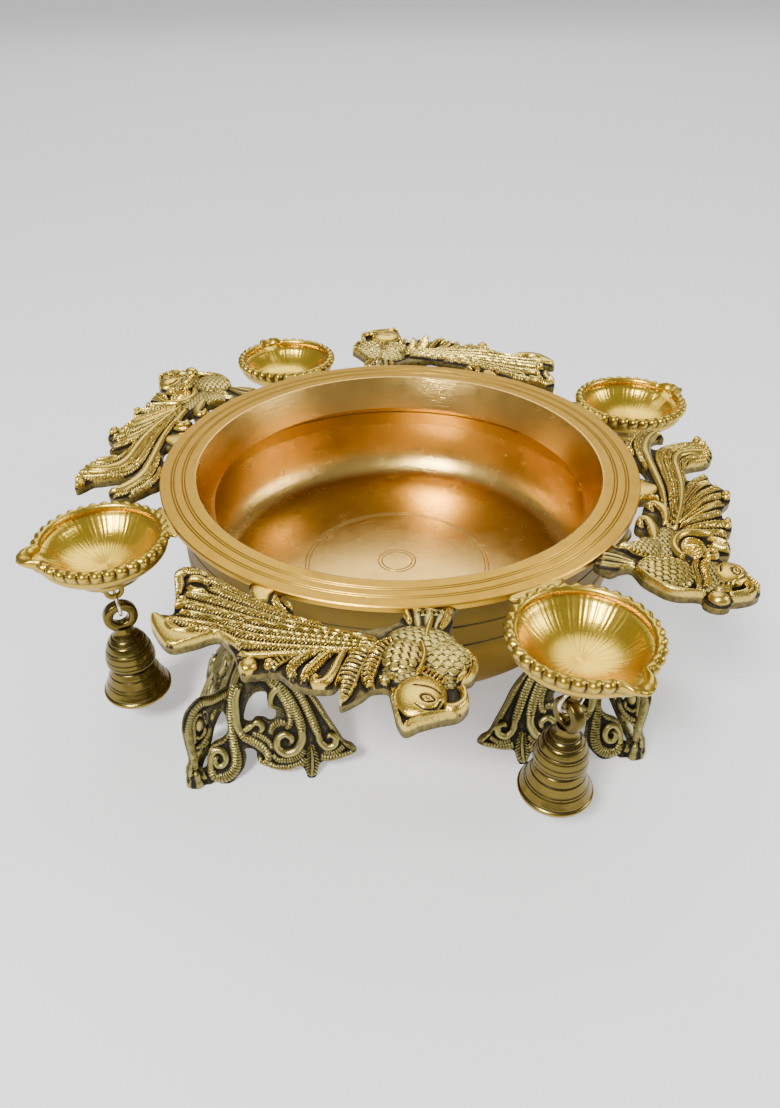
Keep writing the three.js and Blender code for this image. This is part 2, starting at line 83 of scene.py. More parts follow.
def smooth(points: Sequence[Sequence[float]], step: float, closed: bool = False) -> Array:
    """A Catmull-Rom curve through the points, cut into equal steps of its length in x and y.

    From p1 to p2, with neighbours p0 and p3, the curve is half of
    2 p1 + (p2 - p0) t + (2 p0 - 5 p1 + 4 p2 - p3) t^2 + (3 p1 - p0 - 3 p2 + p3) t^3.

    Args:
        points: Knots as rows of x, y and any further values to carry along.
        step: Wanted length of a step.
        closed: Whether the curve returns to its first knot.

    Returns:
        The curve's points, with the first one repeated last where it is closed.
    """
    knots = np.asarray(points, dtype=float)
    if closed:
        padded = np.vstack([knots[-1:], knots, knots[:2]])
    else:
        padded = np.vstack([2 * knots[:1] - knots[1:2], knots, 2 * knots[-1:] - knots[-2:-1]])
    share = np.linspace(0, 1, KNOT_STEPS, endpoint=False)[None, :, None]
    p0, p1, p2, p3 = (padded[i:len(padded) - 3 + i, None, :] for i in range(4))
    curve = 0.5 * (2 * p1 + (p2 - p0) * share + (2 * p0 - 5 * p1 + 4 * p2 - p3) * share ** 2
                   + (3 * p1 - p0 - 3 * p2 + p3) * share ** 3)
    curve = np.vstack([curve.reshape(-1, knots.shape[1]), knots[:1] if closed else knots[-1:]])
    length = run_length(curve)
    stops = np.linspace(0, length[-1], max(int(round(length[-1] / step)), LEAST_STEPS) + 1)
    return np.column_stack([np.interp(stops, length, column) for column in curve.T])


def run_length(curve: Array) -> Array:
    """Length along a curve up to each of its points, by its x and y."""
    return np.concatenate([[0.0], np.cumsum(np.hypot(*np.diff(curve[:, :2], axis=0).T))])


@dataclass
class Shell:
    """A closed surface in millimetres.

    Attributes:
        points: Corners, as rows of x, y, z.
        quads: Faces of four corners.
        triangles: Faces of three corners.
        shade_and_patina: How bright each corner is coloured, 0 in a recess and 1 on a crest: patina with
            painted shade, darker in hollows, grooves and under other parts.
        polish: How bright the metal is rubbed at each corner, 0 to 1.
        local: Each corner in its piece's own axes, for patterns that belong to the piece.
    """
    points: Array
    quads: Array
    triangles: Array
    shade_and_patina: Array
    polish: Array
    local: Array

    def outward(self) -> "Shell":
        """The shell with its faces turned outwards, by the sign of the volume that they enclose.

        Returns:
            This shell, or one with its faces turned over.
        """
        fans = np.vstack([self.triangles, self.quads[:, [0, 1, 2]], self.quads[:, [0, 2, 3]]])
        a, b, c = (self.points[fans[:, k]] for k in range(3))
        if np.einsum("ij,ij->i", a, np.cross(b, c)).sum() > 0:
            return self
        return replace(self, quads=self.quads[:, ::-1], triangles=self.triangles[:, ::-1])

    def placed(self, matrix: Array) -> "Shell":
        """The shell moved by a 4 x 4 matrix, which may mirror, with its local coordinates left alone."""
        return replace(self, points=self.points @ matrix[:3, :3].T + matrix[:3, 3]).outward()

    def own_axes(self) -> "Shell":
        """The shell with its present place taken as its local coordinates."""
        return replace(self, local=self.points.copy())


def gathered(shells: Sequence[Shell]) -> Shell:
    """Several shells as one.

    Args:
        shells: The shells, which may run into each other.

    Returns:
        One shell that holds them all.
    """
    starts = np.cumsum([0, *(len(shell.points) for shell in shells[:-1])])
    corners = {name: np.concatenate([getattr(shell, name) for shell in shells])
               for name in ("points", "shade_and_patina", "polish", "local")}
    faces = {name: np.vstack([getattr(shell, name) + start for shell, start in zip(shells, starts)])
             for name in ("quads", "triangles")}
    return Shell(**corners, **faces)


def around(steps: int) -> Array:
    """Angles once round from 0 in equal steps."""
    return np.linspace(0, 2 * math.pi, steps, endpoint=False)


def squared(wave: Array, power: float) -> Array:
    """A sine or cosine w as sign(w) |w|^power, which squares its circle up into a rounded box."""
    return np.sign(wave) * np.abs(wave) ** power


def strung(lengths: Sequence[int], values: Sequence[Array | float]) -> Array:
    """A column with one value, or one run of values, for each stretch of a profile."""
    return np.concatenate([np.broadcast_to(value, length) for value, length in zip(values, lengths)])[:, None]


def laid(x: Array, y: Array, z: Array) -> Array:
    """A grid of points from their x, y and z, spread to one shape."""
    return np.stack(np.broadcast_arrays(x, y, z), axis=-1)


def revolved(radius: Array, angle: Array, height: Array) -> Array:
    """A grid of points (r cos a, r sin a, z)."""
    return laid(radius * np.cos(angle), radius * np.sin(angle), height)


def skinned(points: Array, shade_and_patina: Array | float = 1.0, polish: Array | float = 0.0,
            looped: bool = False) -> Shell:
    """A closed skin over a grid whose rows are rings round the form.

    Args:
        points: Grid of rows, columns and x, y, z. Each row closes on itself.
        shade_and_patina: Shade-and-patina value for each grid point, or one for all; low values are painted
            shade.
        polish: Polish for each grid point, or one for all.
        looped: Whether the last row joins the first. Otherwise each end closes on its ring's middle.

    Returns:
        The skin with its faces outwards.
    """
    rows, columns = points.shape[:2]
    index = np.arange(rows * columns).reshape(rows, columns)
    flat = points.reshape(-1, 3)
    heights = np.broadcast_to(np.asarray(shade_and_patina, dtype=float), (rows, columns)).reshape(-1)
    rubs = np.broadcast_to(np.asarray(polish, dtype=float), (rows, columns)).reshape(-1)
    triangles = np.zeros((0, 3), dtype=int)
    if looped:
        index = np.vstack([index, index[:1]])
    else:
        first = np.stack([np.full(columns, len(flat)), np.roll(index[0], -1), index[0]], axis=-1)
        last = np.stack([np.full(columns, len(flat) + 1), index[-1], np.roll(index[-1], -1)], axis=-1)
        triangles = np.vstack([first, last])
        flat = np.vstack([flat, points[0].mean(axis=0), points[-1].mean(axis=0)])
        heights = np.concatenate([heights, [heights[0], heights[-1]]])
        rubs = np.concatenate([rubs, [rubs[0], rubs[-1]]])
    right = np.roll(index, -1, axis=1)
    quads = np.stack([index[:-1], right[:-1], right[1:], index[1:]], axis=-1).reshape(-1, 4)
    return Shell(flat, quads, triangles, heights, rubs, flat.copy()).outward()


def turned(profile: Array, steps: int, polish: Array | float = 0.0, shade_and_patina: Array | float = 1.0) -> Shell:
    """A profile turned about the z axis: (r, z) becomes (r cos a, r sin a, z) for a once round.

    Args:
        profile: Rows of radius and height from one end on the axis to the other, axis points left out.
        steps: Facets round the axis.
        polish: Polish along the profile, or one for all.
        shade_and_patina: Shade-and-patina value along the profile, or one for all; low values are painted
            shade.

    Returns:
        The closed skin.
    """
    grid = revolved(profile[:, :1], around(steps), profile[:, 1:2])
    return skinned(grid, np.reshape(shade_and_patina, (-1, 1)), np.reshape(polish, (-1, 1)))


def moved(x: float = 0.0, y: float = 0.0, z: float = 0.0) -> Array:
    """A 4 x 4 matrix that moves by x, y, z."""
    return np.array(Matrix.Translation((x, y, z)))


def spun(degrees: float, axis: str = "Z") -> Array:
    """A 4 x 4 matrix that turns about an axis."""
    return np.array(Matrix.Rotation(math.radians(degrees), 4, axis))


def flipped() -> Array:
    """A 4 x 4 matrix that mirrors across the plane y = 0."""
    return np.diag([1.0, -1.0, 1.0, 1.0])


def scales(x: Array, y: Array, pitch: float) -> Array:
    """Overlapping scales. Rows lie 0.72 pitch apart, each scale an oval 1.3 pitch wide and 2.6 rows long
    about its row's centre, and each row lies over the next one. A scale is level out to 0.74 of its
    radius and falls by 0.95 to its edge.

    Args:
        x: Place along the rows.
        y: Place across the rows, growing towards the scales' tips.
        pitch: Width of a scale.

    Returns:
        Height from 0 to 1.
    """
    row = y / (pitch * 0.72)
    far = []
    for back in (1, 0):
        number = np.floor(row) - back
        sideways = np.mod(x / pitch + np.mod(number, 2) * 0.5, 1) - 0.5
        far.append(np.hypot(sideways, (row - number) * 0.5) / 0.65)
    share = np.where(far[0] < 1, far[0], far[1])
    return 1 - 0.95 * np.clip((share - 0.74) / 0.26, 0, 1) ** 1.5


class Carving(Enum):
    """How the top of a band is carved."""
    PLAIN = "plain"
    BEADS = "beads"
    BARBS = "barbs"
    RUNGS = "rungs"
    LINES = "lines"

    def height(self, along: Array, across: Array, pitch: float) -> Array:
        """Height of the carving on a band.

        BEADS is |sin| along the band. BARBS is slanted barbs, 1 - 0.85 |cos|^2.5, that meet in a middle rib.
        RUNGS is bars between two rails. LINES is three ridges that run along the band.

        Args:
            along: Distance along the band.
            across: Place across it, -1 to 1.
            pitch: Distance from one cut to the next.

        Returns:
            Height from 0 to 1.
        """
        side = np.abs(across)
        if self is Carving.BEADS:
            round_bead = np.abs(np.sin(math.pi * along / pitch)) ** 0.7
            return 0.2 + 0.8 * round_bead * (1 - 0.35 * side ** 4)
        if self is Carving.BARBS:
            barb = 1 - 0.85 * np.abs(np.cos(math.pi * (along / pitch - 1.4 * side))) ** 2.5
            furrow = 1 - 0.7 * np.exp(-((side - 0.26) / 0.1) ** 2)
            return np.where(side < 0.2, 1, barb) * furrow
        if self is Carving.RUNGS:
            rail = np.clip((side - 0.66) / 0.12, 0, 1)
            rung = np.clip(1.6 * np.sin(math.pi * along / pitch) ** 2 - 0.5, 0, 1)
            return np.maximum(rail, 0.08 + 0.85 * rung)
        if self is Carving.LINES:
            return 0.3 + 0.7 * np.cos(across * math.pi * 1.5) ** 2 + 0 * along
        return np.ones(np.broadcast(along, across).shape)


def portions(spots: Array, size: int) -> list[Array]:
    """The spots in portions small enough to be compared with as many things as size at once."""
    return np.array_split(spots, len(spots) * size // 4_000_000 + 1)


def nearest(spots: Array, line: Array) -> tuple[Array, Array]:
    """The nearest point of a line for each spot.

    Args:
        spots: Rows of x, y.
        line: Rows of x, y.

    Returns:
        That point's number and its distance.
    """
    found = []
    for part in portions(spots, len(line)):
        gap = np.hypot(part[:, :1] - line[:, 0], part[:, 1:2] - line[:, 1])
        found.append(np.stack([gap.argmin(axis=1), gap.min(axis=1)]))
    number, gap = np.hstack(found)
    return number.astype(int), gap


def encloses(loops: Sequence[Array], spots: Array) -> Array:
    """Whether each spot lies inside the loops: a ray towards +x then crosses an odd number of their edges.

    Args:
        loops: Closed lines, the last point joined to the first.
        spots: Rows of x, y.

    Returns:
        A truth value for each spot.
    """
    start = np.vstack(loops)
    end = np.vstack([np.roll(loop, -1, axis=0) for loop in loops])
    slope = (end[:, 0] - start[:, 0]) / np.where(end[:, 1] == start[:, 1], 1, end[:, 1] - start[:, 1])
    found = []
    for part in portions(spots, len(start)):
        level = part[:, 1:2]
        crossed = (start[:, 1] > level) != (end[:, 1] > level)
        ahead = part[:, :1] < start[:, 0] + (level - start[:, 1]) * slope
        found.append((crossed & ahead).sum(axis=1) % 2 == 1)
    return np.concatenate(found)


def blurred(field: Array, sigma: float) -> Array:
    """The field under a Gaussian: its spectrum times exp(-2 (pi sigma f)^2), with sigma in cells."""
    wave = np.fft.fftfreq(field.shape[0])[:, None] ** 2 + np.fft.rfftfreq(field.shape[1])[None, :] ** 2
    return np.fft.irfft2(np.fft.rfft2(field) * np.exp(-2 * (math.pi * sigma) ** 2 * wave), field.shape)


@dataclass(frozen=True)
class Band:
    """A carved band laid along a curve on a plate.

    Attributes:
        path: Knots of x, y and half width.
        carving: How its top is cut.
        rise: Height of its crest over the plate.
        pitch: Distance between the cuts.
        polish: How brightly it is rubbed.
    """
    path: tuple[Knot, ...]
    carving: Carving
    rise: float
    pitch: float = 2.0
    polish: float = 0.0

    def carve(self, spots: Array) -> tuple[Array, Array, Array]:
        """The band's height over the plate.

        At the share a of its half width it stands at rise sqrt(1 - 0.9 a^2) (0.5 + 0.5 carving), and it
        eases down to both ends.

        Args:
            spots: Rows of x, y.

        Returns:
            The numbers of the spots that it covers, its height there and its shade-and-patina value, lower in
            the cuts and at its edges.
        """
        line = smooth(self.path, LINE_STEP)
        width = np.maximum(line[:, 2], LEAST_WIDTH)
        low = line[:, :2].min(axis=0) - width.max()
        high = line[:, :2].max(axis=0) + width.max()
        covered = np.flatnonzero(((spots > low) & (spots < high)).all(axis=1))
        number, _ = nearest(spots[covered], line)
        heading = unit(np.gradient(line[:, :2], axis=0))[number]
        away = spots[covered] - line[number, :2]
        along = run_length(line)[number] + (away * heading).sum(axis=1)
        across = away[:, 1] * heading[:, 0] - away[:, 0] * heading[:, 1]
        length = run_length(line)[-1]
        past = np.maximum(np.maximum(-along, along - length), 0)
        share = np.copysign(np.hypot(across, past), across) / width[number]
        under = np.abs(share) < 1
        covered, along, share = covered[under], along[under], share[under]
        cut = self.carving.height(along, share, self.pitch)
        ease = np.sqrt(np.clip(np.minimum(along, length - along) / END_EASE, 0.1, 1))
        crown = np.sqrt(1 - 0.9 * share ** 2) * ease
        # The third value is painted shade with patina: darker in the carving's cuts and at the band's edges.
        return covered, self.rise * crown * (0.5 + 0.5 * cut), cut * (0.4 + 0.6 * crown)


def plain(rise: float, polish: float, *path: Knot) -> Band:
    """A smooth band through the knots."""
    return Band(path, Carving.PLAIN, rise, polish=polish)


def lined(rise: float, polish: float, *path: Knot) -> Band:
    """A band of three ridges through the knots."""
    return Band(path, Carving.LINES, rise, polish=polish)


def beaded(rise: float, pitch: float, polish: float, *path: Knot) -> Band:
    """A row of beads through the knots."""
    return Band(path, Carving.BEADS, rise, pitch, polish)


def barbed(rise: float, pitch: float, polish: float, *path: Knot) -> Band:
    """A feather through the knots."""
    return Band(path, Carving.BARBS, rise, pitch, polish)


def runged(rise: float, pitch: float, polish: float, *path: Knot) -> Band:
    """A ladder of bars through the knots."""
    return Band(path, Carving.RUNGS, rise, pitch, polish)


@dataclass(frozen=True)
class Boss:
    """A low dome on a plate, plain, scaled or engraved.

    Attributes:
        centre: Its middle, x and y.
        radii: Its half widths along x and y.
        rise: Height of its crown over the plate.
        scale: Pitch of its scales, or 0 for a plain dome.
        turn: Angle of the scales' tips from +y, in degrees.
        polish: How brightly it is rubbed.
        lines: Knots of each engraved line.
        shade: How bright its crown is coloured, 0 to 1; below 1 it is painted shade.
    """
    centre: tuple[float, float]
    radii: tuple[float, float]
    rise: float
    scale: float = 0.0
    turn: float = 0.0
    polish: float = 0.0
    lines: tuple[tuple[Knot, ...], ...] = ()
    shade: float = 1.0

    def carve(self, spots: Array) -> tuple[Array, Array, Array]:
        """The dome's height over the plate.

        At the share s from its middle it stands at rise (1 - s^2.4)^0.5 (0.7 + 0.3 scales), and at the
        distance d from an engraved line depth exp(-(d / width)^2) lower. Its shade-and-patina value is
        shade scales^1.5 (0.5 + 0.5 (1 - s^2.4)^0.5), less at the lines: painted shade with patina, darker
        between the scales, down its sides and in the engraved lines.

        Args:
            spots: Rows of x, y.

        Returns:
            The numbers of the spots that it covers, its height there and its shade-and-patina value.
        """
        away = spots - self.centre
        share = np.hypot(away[:, 0] / self.radii[0], away[:, 1] / self.radii[1])
        covered = np.flatnonzero(share < 1)
        x, y = away[covered].T
        crown = np.sqrt(1 - share[covered] ** 2.4)
        cut = np.ones(len(covered))
        if self.scale:
            cos, sin = math.cos(math.radians(self.turn)), math.sin(math.radians(self.turn))
            cut = scales(x * cos + y * sin, y * cos - x * sin, self.scale)
        groove = np.zeros(len(covered))
        if self.lines:
            _, gap = nearest(spots[covered], np.vstack([smooth(knots, 0.25)[:, :2] for knots in self.lines]))
            groove = np.exp(-(gap / ENGRAVED_WIDTH) ** 2)
        height = self.rise * crown * (0.7 + 0.3 * cut) - ENGRAVED_DEPTH * groove
        # The third value darkens the scales' edges, the dome's sides and the engraved lines: painted shade
        # with patina.
        return covered, height, self.shade * cut ** 1.5 * (0.5 + 0.5 * crown) * (1 - groove)


def spiral(centre: Knot, start: float, turns: float, outer: float, inner: float,
           width: float) -> tuple[Knot, ...]:
    """Knots of a scroll: the radius shrinks evenly with the angle and the width with it.

    Args:
        centre: The scroll's eye.
        start: Angle of its first knot, in degrees.
        turns: Turns, counted anticlockwise, or clockwise where negative.
        outer: Radius at the start.
        inner: Radius at the end.
        width: Half width at the start.

    Returns:
        Knots of x, y and half width.
    """
    share = np.linspace(0, 1, int(abs(turns) * 8) + 2)
    angle = math.radians(start) + 2 * math.pi * turns * share
    radius = outer + (inner - outer) * share
    knots = np.stack([centre[0] + radius * np.cos(angle), centre[1] + radius * np.sin(angle),
                      width * (1 - 0.45 * share)], axis=-1)
    return tuple(map(tuple, knots))


def triangulated(plan: Array, loops: Sequence[Array]) -> Array:
    """Delaunay triangles over points in the plane that keep the loops' edges and leave the rest open.

    Args:
        plan: Rows of x, y, of which the loops' points come first.
        loops: Closed lines, the last point joined to the first.

    Returns:
        Rows of three numbers into the plan.
    """
    starts = np.cumsum([0, *map(len, loops)])
    edges = np.vstack([np.stack([np.arange(len(loop)), np.roll(np.arange(len(loop)), -1)], axis=-1) + start
                       for loop, start in zip(loops, starts)])
    faces = np.array(delaunay_2d_cdt(plan.tolist(), edges.tolist(), [], 1, 1e-6)[2])
    doubtful = np.flatnonzero((faces < starts[-1]).all(axis=1))
    outside = doubtful[~encloses(loops, plan[faces[doubtful]].mean(axis=1))]
    return np.delete(faces, outside, axis=0)


@dataclass(frozen=True)
class Casting:
    """A cast plate whose face follows the tallest of its marks.

    Attributes:
        edge: Knots of its outline.
        marks: The bands and domes on its face.
        low: Height of its underside.
        base: Height of its ground between the marks.
        holes: Knots of each hole.
        ease: Radius of its rounded edge.
        cell: Distance between the face's corners.
        twin: Whether the underside is carved too, as the face's mirror image in z = 0.
    """
    edge: Sequence[Sequence[float]]
    marks: tuple[Band | Boss, ...]
    low: float
    base: float
    holes: Sequence[Sequence[Sequence[float]]] = ()
    ease: float = 1.0
    cell: float = 0.42
    twin: bool = False

    def face(self, spots: Array) -> Array:
        """The carving over the ground.

        Args:
            spots: Rows of x, y.

        Returns:
            Rows of height, shade-and-patina value and polish, one for each spot.
        """
        cover = np.zeros((len(spots), 3))
        # The ground between the marks starts at 0.4, dark: patina with painted shade.
        cover[:, 1] = 0.4
        for mark in self.marks:
            covered, height, cut = mark.carve(spots)
            taller = height > cover[covered, 0]
            rows = np.column_stack([height, cut, np.full(len(cut), mark.polish)])
            cover[covered[taller]] = rows[taller]
        return cover

    def shell(self) -> Shell:
        """The casting as one closed skin.

        At the distance d inside its edge the ground stands ease - sqrt(ease^2 - (ease - d)^2) lower, and the
        carving comes in over 0.9 mm. The relief is 0.3 + 0.5 carving + 0.45 (face - face blurred by 1.5 mm).

        Returns:
            The skin, in its own axes.
        """
        loops = [smooth(knots, self.cell * 1.6, closed=True)[:-1, :2] for knots in (self.edge, *self.holes)]
        rim = np.vstack(loops)
        columns, rows = (np.arange(rim[:, k].min(), rim[:, k].max(), self.cell) for k in (0, 1))
        spots = np.stack(np.meshgrid(columns, rows), axis=-1).reshape(-1, 2)
        inside = encloses(loops, spots)
        _, gap = nearest(spots[inside], rim)
        cover = self.face(spots[inside])
        field = np.zeros(len(spots))
        field[inside] = cover[:, 0]
        soft = blurred(field.reshape(len(rows), len(columns)), 1.5 / self.cell).ravel()
        # Painted shade with patina: the face less its blur stands in for occlusion, so hollows come out
        # darker and crests lighter.
        shade_and_patina = np.clip(0.5 * cover[:, 1] + 0.3 + 0.45 * (field - soft)[inside], 0, 1)
        shoulder = self.ease - np.sqrt(self.ease ** 2 - np.clip(self.ease - gap, 0, None) ** 2)
        height = self.base - shoulder + cover[:, 0] * np.sqrt(np.clip(gap / 0.9, 0, 1))
        kept = gap > self.cell * 0.5
        plan = np.vstack([rim, spots[inside][kept]])
        level = np.concatenate([np.full(len(rim), self.base - self.ease), height[kept]])
        top = np.column_stack([plan, level])
        shade = np.concatenate([np.full(len(rim), 0.5), shade_and_patina[kept]])
        rub = np.concatenate([np.full(len(rim), 0.15), cover[kept, 2]])
        faces = triangulated(plan, loops)
        if self.twin:
            below = top * (1, 1, -1)
            under = faces
            shade, rub = np.tile(shade, 2), np.tile(rub, 2)
        else:
            below = np.column_stack([rim, np.full(len(rim), self.low)])
            under = triangulated(rim, loops)
            shade = np.concatenate([shade, np.full(len(rim), 0.45)])
            rub = np.concatenate([rub, np.zeros(len(rim))])
        ways = np.vstack([faces[:, [0, 1]], faces[:, [1, 2]], faces[:, [2, 0]]])
        single = ways[~np.isin(ways @ (len(top), 1), ways @ (1, len(top)))]
        walls = np.column_stack([single[:, ::-1], single + len(top)])
        points = np.vstack([top, below])
        triangles = np.vstack([faces, under[:, ::-1] + len(top)])
        return Shell(points, walls, triangles, shade, rub, points.copy()).outward()


def mesh_object(name: str, shell: Shell, material: bpy.types.Material,
                crease: float = 50.0) -> bpy.types.Object:
    """Puts a shell into a mesh object at the origin, in metres.

    Args:
        name: The object's name.
        shell: The shell in the frame's axes.
        material: Its material.
        crease: Angle in degrees past which an edge stays sharp.

    Returns:
        The new object, linked to the scene.
    """
    mesh = bpy.data.meshes.new(name)
    corners = np.concatenate([shell.quads.ravel(), shell.triangles.ravel()]).astype(np.int32)
    sizes = np.concatenate([np.full(len(shell.quads), 4), np.full(len(shell.triangles), 3)])
    starts = (np.cumsum(sizes) - sizes).astype(np.int32)
    mesh.vertices.add(len(shell.points))
    mesh.vertices.foreach_set("co", (shell.points * MM).ravel())
    mesh.loops.add(len(corners))
    mesh.loops.foreach_set("vertex_index", corners)
    mesh.polygons.add(len(sizes))
    mesh.polygons.foreach_set("loop_start", starts)
    mesh.polygons.foreach_set("use_smooth", np.ones(len(sizes), dtype=bool))
    mesh.update(calc_edges=True)
    mesh.validate()
    mesh.set_sharp_from_angle(angle=math.radians(crease))
    # The shade-and-patina value, patina with painted shade, goes in as an attribute for the material.
    for label, values in (("shade_and_patina", shell.shade_and_patina), ("polish", shell.polish)):
        mesh.attributes.new(label, "FLOAT", "POINT").data.foreach_set("value", values)
    mesh.attributes.new("local", "FLOAT_VECTOR", "POINT").data.foreach_set("vector", shell.local.ravel())
    mesh.materials.append(material)
    piece = bpy.data.objects.new(name, mesh)
    bpy.context.scene.collection.objects.link(piece)
    return piece


@dataclass(frozen=True)
class Value:
    """A shader socket that does maths.

    Attributes:
        shader: The material's nodes.
        socket: The socket that gives the value.
    """
    shader: "Shader"
    socket: bpy.types.NodeSocket

    def _math(self, operation: str, *values: Any) -> "Value":
        """A Math node of that operation on the values."""
        return self.shader.node("ShaderNodeMath", {"operation": operation}, dict(enumerate(values)))

    def __add__(self, other: Any) -> "Value":
        """This plus other."""
        return self._math("ADD", self, other)

    def __radd__(self, other: Any) -> "Value":
        """Other plus this."""
        return self._math("ADD", other, self)

    def __sub__(self, other: Any) -> "Value":
        """This minus other."""
        return self._math("SUBTRACT", self, other)

    def __rsub__(self, other: Any) -> "Value":
        """Other minus this."""
        return self._math("SUBTRACT", other, self)

    def __mul__(self, other: Any) -> "Value":
        """This times other."""
        return self._math("MULTIPLY", self, other)

    def __rmul__(self, other: Any) -> "Value":
        """Other times this."""
        return self._math("MULTIPLY", other, self)

    def __pow__(self, other: Any) -> "Value":
        """This to a power."""
        return self._math("POWER", self, other)

    def within(self, low: float, high: float) -> "Value":
        """This, eased from 0 at low to 1 at high."""
        settings = {"interpolation_type": "SMOOTHSTEP"}
        return self.shader.node("ShaderNodeMapRange", settings, {0: self, 1: low, 2: high})


class Shader:
    """The nodes of one material."""

    def __init__(self, name: str) -> None:
        """Starts an empty material.

        Args:
            name: The material's name.
        """
        self.material = bpy.data.materials.new(name)
        self.material.use_nodes = True
        self.tree = self.material.node_tree
        self.tree.nodes.clear()

    def node(self, kind: str, settings: dict[str, Any] | None = None,
             inputs: dict[Any, Any] | None = None, output: int | str | None = 0) -> "Value | None":
        """Adds a node.

        Args:
            kind: The node's type.
            settings: Its settings, set before its sockets.
            inputs: Values or links by socket name or number.
            output: The output that is wanted, or None.

        Returns:
            That output, if one is wanted.
        """
        made = self.tree.nodes.new(kind)
        for key, setting in (settings or {}).items():
            setattr(made, key, setting)
        for key, value in (inputs or {}).items():
            if isinstance(value, Value):
                self.tree.links.new(value.socket, made.inputs[key])
            else:
                made.inputs[key].default_value = value
        return None if output is None else Value(self, made.outputs[output])

    def attribute(self, name: str, output: str = "Fac") -> Value:
        """One of the piece's own attributes."""
        return self.node("ShaderNodeAttribute", {"attribute_name": name}, output=output)

    def noise(self, vector: Value, scale: float, detail: float, rough: float = 0.55) -> Value:
        """Noise from 0 to 1 at a scale."""
        return self.node("ShaderNodeTexNoise", None,
                         {"Vector": vector, "Scale": scale, "Detail": detail, "Roughness": rough})

    def blend(self, share: Value, low: Value | Colour, high: Value | Colour) -> Value:
        """A colour between low and high."""
        ends = {6: low, 7: high}
        ready = {key: end if isinstance(end, Value) else (*end, 1.0) for key, end in ends.items()}
        return self.node("ShaderNodeMix", {"data_type": "RGBA"}, {0: share, **ready}, output=2)

    def finished(self, inputs: dict[str, Any]) -> bpy.types.Material:
        """The material, with its surface set.

        Args:
            inputs: Values or links of the principled surface by socket name.

        Returns:
            The material.
        """
        surface = self.node("ShaderNodeBsdfPrincipled", None, inputs, "BSDF")
        self.node("ShaderNodeOutputMaterial", None, {"Surface": surface}, None)
        return self.material


@dataclass(frozen=True)
class Grain:
    """How a worked face breaks up, with its scales in patches to the millimetre.

    Attributes:
        mottle: Scale and detail of its mottling.
        depth: How far the mottling moves the edge of a recess.
        ground: Shade-and-patina value up to which a recess keeps its dark colour, patina with painted shade.
        marks: Scale, detail and roughness of the tool marks.
    """
    mottle: tuple[float, float]
    depth: float
    ground: float
    marks: tuple[float, float, float]


class Tooling(Enum):
    """How a metal face was worked."""
    TURNED = Grain((0.09, 2.0), 0.08, 0.18, (1.0, 5.0, 0.7))
    CAST = Grain((0.35, 5.0), 0.3, 0.36, (1.3, 4.0, 0.65))
    DRAWN = Grain((0.09, 2.0), 0.08, 0.18, (2.5, 4.0, 0.65))


@dataclass(frozen=True)
class Brass:
    """A brass finish.

    Attributes:
        name: The material's name.
        crest: Colour on the raised metal.
        recess: Colour in the recesses: dark patina with painted shade.
        rubbed: Colour where it is polished.
        rough: Roughness of the raised metal.
        rub_rough: Roughness where it is polished.
        tooling: How it was worked.
        marks: Depth of the tool marks, as the bump's strength.
        patina: Share of the face that has darkened, 0 to 1.
    """
    name: str
    crest: Colour
    recess: Colour
    rubbed: Colour
    rough: float
    rub_rough: float
    tooling: Tooling
    marks: float = 0.2
    patina: float = 0.4

    def material(self) -> bpy.types.Material:
        """The finish as a material whose patterns lie in the piece's own axes, in millimetres.

        The mottled shade-and-patina value, eased over 0.4 from the ground, mixes from the recess colour,
        patina with painted shade, to the bright metal, which clouds stain to 0.45 of its colour except where
        it is polished.

        Returns:
            The material.
        """
        grain = self.tooling.value
        shader = Shader(self.name)
        local = shader.attribute("local", "Vector")
        shade_and_patina = shader.attribute("shade_and_patina")
        polish = shader.attribute("polish")
        cloud = shader.noise(local, 0.045, 4.0)
        mottle = shader.noise(local, *grain.mottle, 0.6)
        lathed = self.tooling is Tooling.TURNED
        marks = shader.noise(self._rings(shader, local) if lathed else local, *grain.marks)
        # Painted shade with patina: a low shade-and-patina value takes the dark recess colour.
        clear_of_patina_and_shade = (shade_and_patina + (mottle - 0.5) * grain.depth).within(grain.ground, grain.ground + 0.4)
        stain = (cloud * 0.6 + mottle * 0.4 + shade_and_patina * -0.12).within(0.36, 0.62) * self.patina * (1 - polish)
        bright = shader.blend(polish, self.crest, self.rubbed)
        worn = shader.blend(stain, bright, tuple(part * 0.45 for part in self.crest))
        rough = (self.rough + (self.rub_rough - self.rough) * polish + (mottle - 0.5) * 0.18
                 + (1 - clear_of_patina_and_shade) * 0.25 + stain * 0.12)
        bump = shader.node("ShaderNodeBump", None,
                           {"Strength": self.marks, "Distance": 0.0004, "Height": marks}, "Normal")
        return shader.finished({"Base Color": shader.blend(clear_of_patina_and_shade, self.recess, worn),
                                "Metallic": 0.55 + clear_of_patina_and_shade * 0.45, "Roughness": rough, "Normal": bump})

    def _rings(self, shader: Shader, local: Value) -> Value:
        """Coordinates for the lathe's fine rings: fast with radius and height, slow round the axis.

        Args:
            shader: The material's nodes.
            local: The piece's own coordinates.

        Returns:
            The coordinates (0.03 x, 0.03 y, 1.6 r + 1.1 z).
        """
        across, deep, height = (shader.node("ShaderNodeSeparateXYZ", None, {0: local}, k) for k in range(3))
        radius = (across * across + deep * deep) ** 0.5
        return shader.node("ShaderNodeCombineXYZ", None,
                           {0: across * 0.03, 1: deep * 0.03, 2: radius * 1.6 + height * 1.1})


